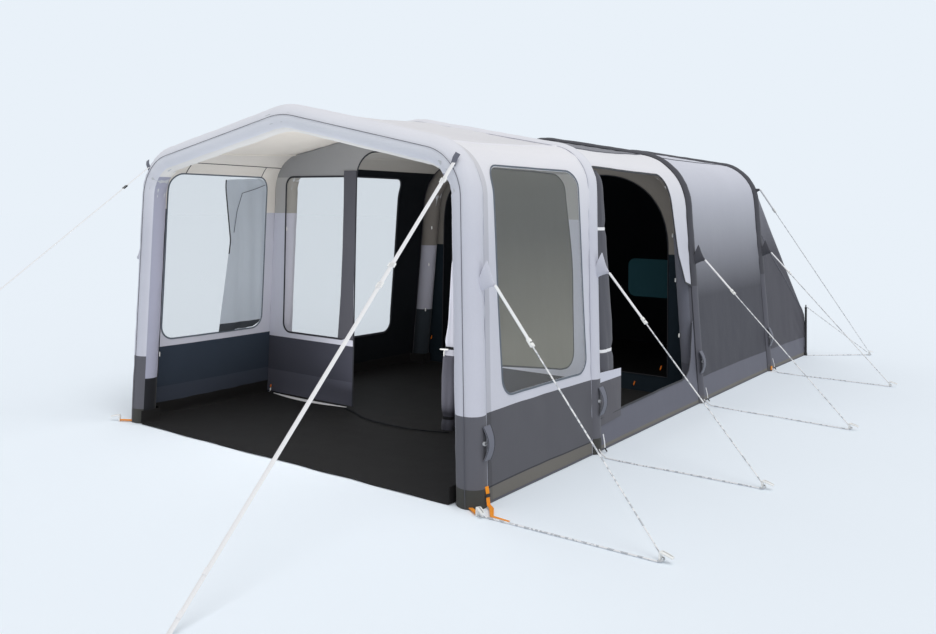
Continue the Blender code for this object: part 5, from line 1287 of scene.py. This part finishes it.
def add_blind():
    """The blind inside the right porch window, its foot sloping and its upper rear corner pulled in."""
    loop = wall_loop(PORCH, window_line(0.130, 0.985, 0.660, 1.692, 0.0), SHEET_DEPTH + 0.0046)
    back = loop[:, 0] + MIDDLE
    loop[:, 1] -= 0.095 * np.clip((back - 0.24) / 0.6, -0.3, 1) * ease((1.0 - loop[:, 1]) / 0.3)
    loop[:, 0] -= 0.095 * ease((back - 0.6) / 0.3) * ease((loop[:, 1] - 1.0) / 0.7)
    wall_panel("porch_blind_cloth", PORCH, 1, loop, [], ("blind", "blind"), down=BLIND_DEPTH,
               thickness=0.0012, replaces=("blind_right_porch",), slot="blind_fabric", held="hung")
    edge = Heap().add(*band(PORCH, loop, 1, BLIND_DEPTH, flat_section(0.009, 0.0030)))
    edge.piece("porch_blind_edge", "seam", slot="blind_fabric")


def add_curtain():
    """The curtain gathered across the rear half of the left porch window, flared at its foot."""
    rows, columns = 44, 84
    low, high, rear, round_off = 0.537, 1.678, 1.043, WINDOW_ROUND - 0.008
    points = []
    for share in np.linspace(0, 1, rows):
        height = low + (high - low) * share
        front = np.interp(share, (0, 0.60, 1), (0.633, 0.694, 0.621))
        over = max(0.0, round_off - min(height - low, high - height))
        back = rear - round_off + math.sqrt(round_off**2 - over**2)
        across = np.linspace(0, 1, columns)
        y = front + (back - front) * across - MIDDLE
        turn = 2 * math.pi * (2.4 * across**1.3 + 0.55 * share) + 0.5 * math.sin(3.1 * share)
        fold = 0.011 * (1 - np.cos(turn)) / 2 * (1.15 - 0.6 * share)
        fold += 0.003 * ripple(across * 5 - 2 * share, share * 2, 3)
        depth = SHEET_DEPTH + 0.0062 + np.maximum(fold, 0) * ease((1 - across) / 0.12 + 0.1)
        spots = PORCH.station([y.mean()], [height])[0]
        points.append(PORCH.at(y, np.full(columns, spots), depth, -1))
    grid = np.array(points)
    grid_sheet("porch_curtain_cloth", grid, 0.0012, (-1, 0, 0), ("curtain", "curtain"), flat=(0.40, 1.13),
               replaces=("curtain_left_porch",), slot="blind_fabric", held="gathered")
    lines = Heap()
    front = grid[22:, 1] + vec(0.0012, 0, 0)
    lines.add(*sweep(front, flat_section(0.010, 0.0030), (1, 0, 0)))
    places = ((41, 80), (40, 60), (39, 32), (34, 20), (28, 9))
    bend = resample([grid[row, column] + vec(0.0075, 0, 0) for row, column in places], 0.02)
    lines.add(*sweep(bend, circle(0.0022, 6), (1, 0, 0)), 1)
    lines.piece("porch_curtain_edges", "seam", "grey_seam", slot="blind_fabric")


ROLL_STEP = 0.016
DOOR_ROLL_LOW, DOOR_ROLL_HIGH, DOOR_ROLL_SPREAD = 0.3705, 1.735, 0.052
PARTITION_ROLL_HIGH = 1.800


def add_roll(name, looks_and_slot, centre, low, high, half_x, half_y, ties, seed, folds, flare, slim=0.0,
             spread=0.0):
    """Rolled cloth on end: rings drawn in at their ties, with spiral folds, loose edges and a flared foot."""
    look, tie_look, tie_slot = looks_and_slot
    heights = np.arange(low, high + 0.001, ROLL_STEP)
    heights[-1] = high
    turns = turns_of(40)
    z, turn = np.meshgrid(heights, turns, indexing="ij")
    squeeze = np.ones_like(z)
    for tie in ties:
        squeeze -= 0.20 * np.exp(-(((z - tie) / 0.030) ** 2))
    end = 1 - 0.25 * ease(1 - (high - z) / 0.05) - 0.06 * ease(1 - (z - low) / 0.03)
    fold = 0.5 + 0.5 * np.sin(folds * turn + 2.2 * z + 0.8 * ripple(z * 4, turn, seed))
    lumps = 1 - 0.16 * fold**2 + 0.05 * ripple(z * 9, turn * 1.6, seed + 1)
    size = squeeze * end * lumps * (1 + flare * np.sin(math.pi * np.clip((z - low) / 0.9, 0, 1)) ** 2)
    size *= 1 - slim * ease((z - 0.50) / 0.25)
    x, y = centre(heights)
    half_y = half_y + spread * (high - z) / (high - low)
    points = np.stack([x[:, None] + half_x * size * np.cos(turn),
                       y[:, None] + half_y * size * np.sin(turn), z], -1)
    heap = Heap().add(points, tube_faces(len(heights), len(turns)))
    heap.piece(f"{name}_cloth", look, replaces=(name,), slot="door_fabric")
    heap = Heap()
    for tie in ties:
        row = min(max(int(round((tie - low) / ROLL_STEP)), 0), len(heights) - 1)
        middle = vec(x[row], y[row], heights[row])
        loop = middle + (points[row] - middle) * 1.03
        heap.add(*sweep(loop, flat_section(0.020, 0.0024), unit(loop - middle), closed=True))
    heap.piece(f"{name}_ties", tie_look, slot=tie_slot)


def door_roll_centre(heights):
    lean = (DOOR_ROLL_SPREAD + 0.030) * (DOOR_ROLL_HIGH - heights) / (DOOR_ROLL_HIGH - DOOR_ROLL_LOW)
    y = A2.y + SLEEVE_HALF + 0.056 + lean
    u = LIVING.station(y, heights, 0.060)
    return LIVING.at(y, u, 0.060, waves=False)[:, 0], y


def partition_roll_centre(heights):
    return 0.390 + 0.090 * heights / PARTITION_ROLL_HIGH, np.full(len(heights), -1.7907)


def add_rolls():
    add_roll("door_roll", ("door", "webbing", "webbing"), door_roll_centre, DOOR_ROLL_LOW, DOOR_ROLL_HIGH,
             0.036, 0.056, (0.60, 1.37), 13, 3, 0.10, spread=DOOR_ROLL_SPREAD)
    add_roll("partition_roll", ("roll", "black_webbing", "dark_fabric"), partition_roll_centre, 0.0036,
             PARTITION_ROLL_HIGH, 0.052, 0.042, (0.09, 0.55, 1.15, 1.62), 19, 4, 0.22, slim=0.30)


add_blind()
add_curtain()
add_rolls()


# ---- fittings


def leg_point(arch, height, down=0.0):
    """A point on a right leg, and the way down it and out from it."""
    u = height / arch.height * LEG
    spot = arch.at(np.array([u]), np.array([down]))[0]
    way = -arch.inward[10]
    return vec(spot[0], arch.y, spot[1]), vec(way[1], 0, -way[0]), vec(way[0], 0, way[1])


TAB_HEIGHT, TAB_REACH, TAB_LOW, TAB_HIGH = 1.100, 0.074, 0.050, 0.120


def tab(heap, arch, side):
    """A flared gusset of cloth from a leg to a guy's end: thin, with hollow edges."""
    tip, down, out = leg_point(arch, TAB_HEIGHT)
    tip = tip + out * TAB_REACH
    middle, _, _ = leg_point(arch, TAB_HEIGHT + (TAB_HIGH - TAB_LOW) / 2, 0.004)
    turns = turns_of(14)
    path, sections = [], []
    for share in np.linspace(0, 1, 9):
        tall = (TAB_LOW + TAB_HIGH) / 2 * (1 - share) ** 1.35 + 0.010
        thick = 0.012 * (1 - share) ** 3 + 0.0055
        path.append((middle + (tip - middle) * share**0.9) * vec(side, 1, 1))
        sections.append(np.stack([thick * np.cos(turns), tall * np.sin(turns)], 1))
    heap.add(*sweep(path, np.array(sections), -down * vec(side, 1, 1)))


def add_tabs():
    for number, arch in enumerate((A1, A2, A3, A4), 1):
        heap = Heap()
        for side in (1, -1):
            tab(heap, arch, side)
        heap.piece(f"guy_tabs_{number}", "fascia" if number < 3 else "dark_edge",
                   slot="light_fabric" if number < 3 else "dark_fabric")
    heap = Heap()
    root, along = vec(1.3021, 1.8512, 1.6900), vec(-0.2462, 0, 0.9692)
    out = vec(along[2], 0, -along[0])
    for side in (1, -1):
        path = [(root + out * reach) * vec(side, 1, 1) for reach in (-0.003, 0.008, 0.020, 0.034)]
        sections = np.array([flat_section(wide, thick)[:, ::-1] for wide, thick in
                             ((0.036, 0.026), (0.032, 0.022), (0.026, 0.020), (0.018, 0.020))])
        heap.add(*sweep(path, sections, along * vec(side, 1, 1)))
    heap.piece("shoulder_tabs", "dark_edge", slot="dark_fabric")


FLAP_HEIGHT, FLAP_LENGTH = 0.400, 0.170


def add_flaps():
    """Bowed covers over the valves, each on its own hinge at its upper edge."""
    for number, (arch, aside) in enumerate(zip((A1, A2, A3, A4), (0.020, 0.020, -0.020, 0.0)), 1):
        root, down, out = leg_point(arch, FLAP_HEIGHT)
        shares = np.linspace(0, 1, 16)
        bow = 0.0018 + 0.028 * np.sin(math.pi * shares)
        path = root + down * FLAP_LENGTH * shares[:, None] + out * bow[:, None] + vec(0, aside, 0)
        widths = 0.070 - 0.010 * np.sin(math.pi * shares) ** 2
        heap = Heap().add(*sweep(path, flat_sections(widths, 0.0030), out))
        for edge in (-1, 1):
            hem = path + vec(0, edge, 0) * (widths / 2 - 0.004)[:, None] + out * 0.0012
            heap.add(*sweep(hem, flat_section(0.006, 0.0016), out), 1)
        heap.piece(f"valve_cover_{number}", "flap", "seam", body=f"flap_{number}",
                   replaces=(f"valve_flap_{number}",), slot="door_fabric")


ZIP_LOW, ZIP_HIGH, ZIP_SLIDER, ZIP_DOWN = 0.300, 1.450, 0.450, 0.110


def left_leg(height, down, aside):
    """A point on the front left leg: in from its outer line, and aside from its middle."""
    line = A1.at(np.array([height / A1.height * LEG]), np.array([down]))[0]
    return vec(-line[0], A1.y + aside, line[1])


def add_zip():
    """The zip up the back of the front left leg: tape, teeth and its slider."""
    face = SLEEVE_HALF + 0.0003
    low, high = left_leg(ZIP_LOW, ZIP_DOWN, face), left_leg(ZIP_HIGH, ZIP_DOWN, face)
    along = unit(high - low)
    aside = vec(along[2], 0, -along[0])
    heap = Heap().add(*sweep([low + vec(0, 0.0008, 0), high + vec(0, 0.0008, 0)], flat_section(0.012, 0.0015),
                             (0, 1, 0)))
    for place in np.arange(0.004, np.linalg.norm(high - low) - 0.004, 0.006):
        spot = low + along * place + vec(0, 0.0019, 0)
        heap.add(*sweep([spot - aside * 0.0026, spot + aside * 0.0026], flat_section(0.0032, 0.0014),
                        (0, 1, 0)), 1)
    heap.piece("leg_zip_tape", "seam", "black_plastic", replaces=("zip_tape",), slot="black_plastic")
    centre = left_leg(ZIP_SLIDER, ZIP_DOWN, face + 0.0040)
    heap = Heap()
    ways = [(-0.015, 0.0095), (-0.008, 0.0100), (0.004, 0.0088), (0.015, 0.0070)]
    sections = flat_sections([2 * wide for _, wide in ways], 0.0062)
    heap.add(*sweep([centre + along * place for place, _ in ways], sections, (0, 1, 0)))
    heap.add(*sweep([centre + vec(0, 0.0042, 0) + along * place for place in (0.006, -0.004, -0.014)],
                    flat_section(0.005, 0.0022), (0, 1, 0)))
    heap.piece("zip_slider_body", "white_plastic", body="slider", replaces=("zip_slider",),
               slot="white_plastic", sharp=30)


def toggle(heap, spot, way, size=0.030, radius=0.006):
    """A bead, thickest at its middle."""
    spot, way = np.asarray(spot, float), unit(way)
    shares = np.linspace(-1, 1, 7)
    bulge = radius * (0.55 + 0.45 * np.sqrt(1 - 0.9 * shares**2))
    section = np.array([circle(size_here, 10) for size_here in bulge])
    up = vec(0, 1, 0) if abs(way[1]) < 0.7 else vec(0, 0, 1)
    heap.add(*sweep(spot + way * (shares * size / 2)[:, None], section, up))


def add_toggles():
    white, orange = Heap(), Heap()
    for height in (0.80, 1.14):
        toggle(white, left_leg(height, 0.075, SLEEVE_HALF + 0.004), (0, 0, 1), 0.034, 0.007)
    for arch, heights in ((A2, (0.58, 1.30)), (A3, (0.52, 0.95, 1.30))):
        for height in heights:
            for side in (1, -1):
                spot, _, _ = leg_point(arch, height, 0.150)
                toggle(white, (spot + vec(0, -0.060, 0)) * vec(side, 1, 1), (0, 0, 1))
    for x, z in ((-1.320, 0.310), (-1.296, 0.230), (-1.055, 0.075), (1.058, 0.212), (0.826, 0.060)):
        toggle(orange, (x, INNER_FRONT - 0.007, z), (0.3, 0, 1), 0.036, 0.006)
    toggle(orange, (-1.376, PARTITION_FRONT - 0.013, 0.058), (0.2, 0, 1), 0.022, 0.006)
    toggle(white, (-1.380, PARTITION_FRONT - 0.013, 0.030), (0.2, 0, 1), 0.024, 0.006)
    toggle(white, (0.392, PARTITION_FRONT - 0.096, 0.540), (1, 0, 0.05), 0.070, 0.0055)
    toggle(white, (0.392, PARTITION_FRONT - 0.096, 0.515), (0.05, 0, 1), 0.040, 0.0055)
    white.piece("white_toggles", "white_plastic", slot="white_plastic")
    orange.piece("orange_toggles", "orange_plastic", slot="white_plastic")


def foot_clip(cloth_heap, hook_heap, arch, side):
    """A white strap down an arch's foot to a dark hook at the ground."""
    path = []
    for level, lift in ((0.110, 0.001), (0.066, 0.009), (0.030, 0.012)):
        spot, _, _ = leg_point(arch, level, -lift)
        path.append((spot + vec(0, 0.040, 0)) * vec(side, 1, 1))
    cloth_heap.add(*sweep(path, flat_section(0.016, 0.003), (side, 0.2, 0)))
    end = path[-1]
    hook_heap.add(*sweep([end, end + vec(side * 0.006, 0, -0.012), end + vec(side * 0.014, 0, -0.022)],
                         circle(0.0045, 8), (0, 1, 0)))


def add_foot_webbing():
    """Orange webbing from each front foot to its peg, with a strap up the leg and its buckle."""
    heap = Heap()
    for side in (1, -1):
        start, peg = vec(side * 1.4150, -2.9640, 0.0078), vec(side * 1.4790, -3.0018, 0.0078)
        way = unit(peg - start)
        for lift, wide in ((0.0, 0.020), (0.0036, 0.018)):
            path = [start - way * 0.020 + vec(0, 0, lift), start + vec(0, 0, lift), peg + vec(0, 0, lift)]
            heap.add(*sweep(path, flat_section(wide, 0.0030)))
        path = []
        for height, lift in ((0.105, 0.0015), (0.080, 0.006), (0.045, 0.008), (0.016, 0.012)):
            spot, _, _ = leg_point(A1, height, -lift)
            path.append((spot + vec(0, 0.012, 0)) * vec(side, 1, 1))
        heap.add(*sweep(path, flat_section(0.022, 0.0030), (side, -0.3, 0)))
        spot = (path[1] + path[2]) / 2 + vec(side * 0.003, 0, 0)
        heap.add(*sweep([spot + vec(0, 0, 0.008), spot - vec(0, 0, 0.008)], flat_section(0.027, 0.004),
                        (side, -0.3, 0)), 1)
        if side > 0:
            end = [path[-1], path[-1] + vec(0.030, -0.020, -0.004), (1.560, -2.9975, 0.0125),
                   (1.660, -2.9990, 0.0105)]
            heap.add(*sweep(end, flat_sections((0.022, 0.024, 0.020, 0.012), 0.0030)))
    heap.piece("front_foot_webbing", "orange", "black_plastic", slot="webbing")
    straps, hooks, blocks = Heap(), Heap(), Heap()
    for arch in (A2, A3, A4):
        for side in (1, -1):
            foot_clip(straps, hooks, arch, side)
    for side in (1, -1):
        spot, _, _ = leg_point(A4, 0.030, -0.004)
        place = (spot + vec(0, -0.030, 0)) * vec(side, 1, 1)
        blocks.add(*sweep([place + vec(0, 0, 0.016), place - vec(0, 0, 0.016)], flat_section(0.034, 0.008),
                          (side, 0, 0)))
    straps.piece("foot_straps", "webbing", slot="webbing")
    hooks.piece("foot_hooks", "black_plastic", slot="black_plastic")
    blocks.piece("rear_foot_blocks", "orange", slot="webbing")


def add_rear_poles():
    """The short rear poles: foot, rings and pointed top of each, from (radius, height)."""
    profile = [(0.014, 0), (0.014, 0.026), (0.0125, 0.030), (0.011, 0.034), (0.011, 0.120), (0.0113, 0.123),
               (0.0113, 0.131), (0.011, 0.134), (0.011, 0.480), (0.0122, 0.484), (0.0122, 0.497),
               (0.0085, 0.501), (0.006, 0.504), (0.006, 0.520), (0.0035, 0.525)]
    for side, word in ((1, "right"), (-1, "left")):
        path = [(side * 1.4736, 2.9812, z) for _, z in profile]
        section = np.array([circle(radius, 24) for radius, _ in profile])
        heap = Heap().add(*sweep(path, section, (0, 1, 0)))
        heap.piece(f"rear_pole_{word}_tube", "black_plastic", replaces=(f"rear_pole_{word}",),
                   slot="black_plastic", sharp=30)


def add_seams():
    """Taped seams along the eaves, hems on the ground and flat-felled seams over the roofs."""
    heap = Heap()
    for bay in (PORCH, LIVING, BEDROOM, REAR):
        ys = np.linspace(bay.start, bay.end, 50)
        for side in (1, -1):
            path = bay.at(ys, np.full(50, float(TOP)), SHEET_DEPTH - 0.0008, side)
            heap.add(*sweep(path, flat_section(0.016, 0.0030), (side, 0, 0.8)), 0 if bay is PORCH else 1)
            hem = bay.at(ys, np.full(50, 0.30), SHEET_DEPTH - 0.0010, side)
            heap.add(*sweep(hem, flat_section(0.010, 0.0030), (side, 0, 0)), 1)
            if bay in (PORCH, LIVING):
                inside = bay.at(ys, np.full(50, float(TOP)), SHEET_DEPTH + 0.0032, side)
                heap.add(*sweep(inside, flat_section(0.016, 0.0020), (side, 0, 0.8)), 2 if bay is PORCH else 3)
    heap.piece("eave_and_hem_seams", "white_seam", "grey_seam", "ceiling", "lining", slot="dark_fabric")
    heap = Heap()
    ys = np.linspace(PORCH.start + 0.015, PORCH.end, 40)
    lines = [(ys, np.full(40, 1.775))]
    lines += [(np.linspace(y, y - 0.010, 6) - MIDDLE, np.linspace(1.775, 1.697, 6)) for y in (0.265, 0.985)]
    for along, heights in lines:
        path = PORCH.at(along, PORCH.station(along, heights), SHEET_DEPTH + 0.0035, -1)
        heap.add(*sweep(path, circle(0.0026, 8), (1, 0, 0.1)))
    heap.piece("left_wall_seams", "seam", slot="light_fabric")
    heap = Heap()
    stations = np.arange(TOP, LAST - TOP + 1, 2, dtype=float)
    for bay in (LIVING, BEDROOM):
        middle = bay.start + (bay.end - bay.start) * 0.5
        path = bay.at(np.full(len(stations), middle), stations, SHEET_DEPTH - 0.0006)
        heap.add(*sweep(path, flat_section(0.012, 0.0022)))
    for side in (1, -1):
        ys = np.linspace(REAR.start, REAR.end, 40)
        heights = np.linspace(1.28, 0.44, 40)
        path = REAR.at(ys, REAR.station(ys, heights), SHEET_DEPTH - 0.0008, side)
        heap.add(*sweep(path, flat_section(0.014, 0.0030), (side, 0, 0.3)))
    heap.piece("cover_seams", "grey_seam", slot="dark_fabric")


add_tabs()
add_flaps()
add_zip()
add_toggles()
add_foot_webbing()
add_rear_poles()
add_seams()


# ---- floor, world and light


def path_share(tree):
    """1 for what the camera sees, directly, in a reflection or through clear film."""
    path = tree.nodes.new("ShaderNodeLightPath")
    seen = math_node(tree, "MAXIMUM", path.outputs["Is Camera Ray"], path.outputs["Is Glossy Ray"])
    return math_node(tree, "MAXIMUM", seen, path.outputs["Is Transmission Ray"])


def add_lamp(name, kind, place, power, size, across=0.0):
    lamp = bpy.data.lights.new(name, kind)
    lamp.energy = power
    if kind == "AREA":
        lamp.shape, lamp.size, lamp.size_y = "RECTANGLE", size, across
    else:
        lamp.shadow_soft_size = size
    made = add_object(name, lamp)
    made.location = place
    made.rotation_euler = (math.pi, 0, 0)
    made.visible_camera = made.visible_glossy = made.visible_transmission = False


def add_stage():
    mesh = bpy.data.meshes.new("studio_floor")
    corners = [(x * FLOOR_HALF, y * FLOOR_HALF, -0.001) for x, y in ((-1, -1), (1, -1), (1, 1), (-1, 1))]
    mesh.from_pydata(corners, [], [(0, 1, 2, 3)])
    floor = add_object("studio_floor", mesh)
    made, tree, shader = new_material("studio_floor_finish")
    shader.inputs["Base Color"].default_value = (*(value / FLOOR_LIT for value in linear(BACKGROUND)), 1)
    shader.inputs["Roughness"].default_value = 1.0
    shader.inputs["Specular IOR Level"].default_value = 0.0
    mesh.materials.append(made)
    world = bpy.data.worlds.new("studio")
    bpy.context.scene.world = world
    world.use_nodes = True
    tree = world.node_tree
    light = tree.nodes["Background"]
    light.inputs["Color"].default_value = (1.0, 1.0, 1.0, 1)
    light.inputs["Strength"].default_value = WORLD_STRENGTH
    seen = tree.nodes.new("ShaderNodeBackground")
    seen.inputs["Color"].default_value = (*linear(BACKGROUND), 1)
    blend_shaders(tree, path_share(tree), light, seen, "World Output")
    lamp = bpy.data.lights.new("key", "SUN")
    lamp.energy = SUN_STRENGTH
    lamp.angle = math.radians(SUN_SPREAD)
    sun = add_object("key", lamp)
    sun.rotation_euler = Vector(SUN_FROM).to_track_quat("Z", "Y").to_euler()
    for facts in FILLS:
        add_lamp(*facts)


add_stage()

bpy.context.scene.view_settings.view_transform = "Standard"
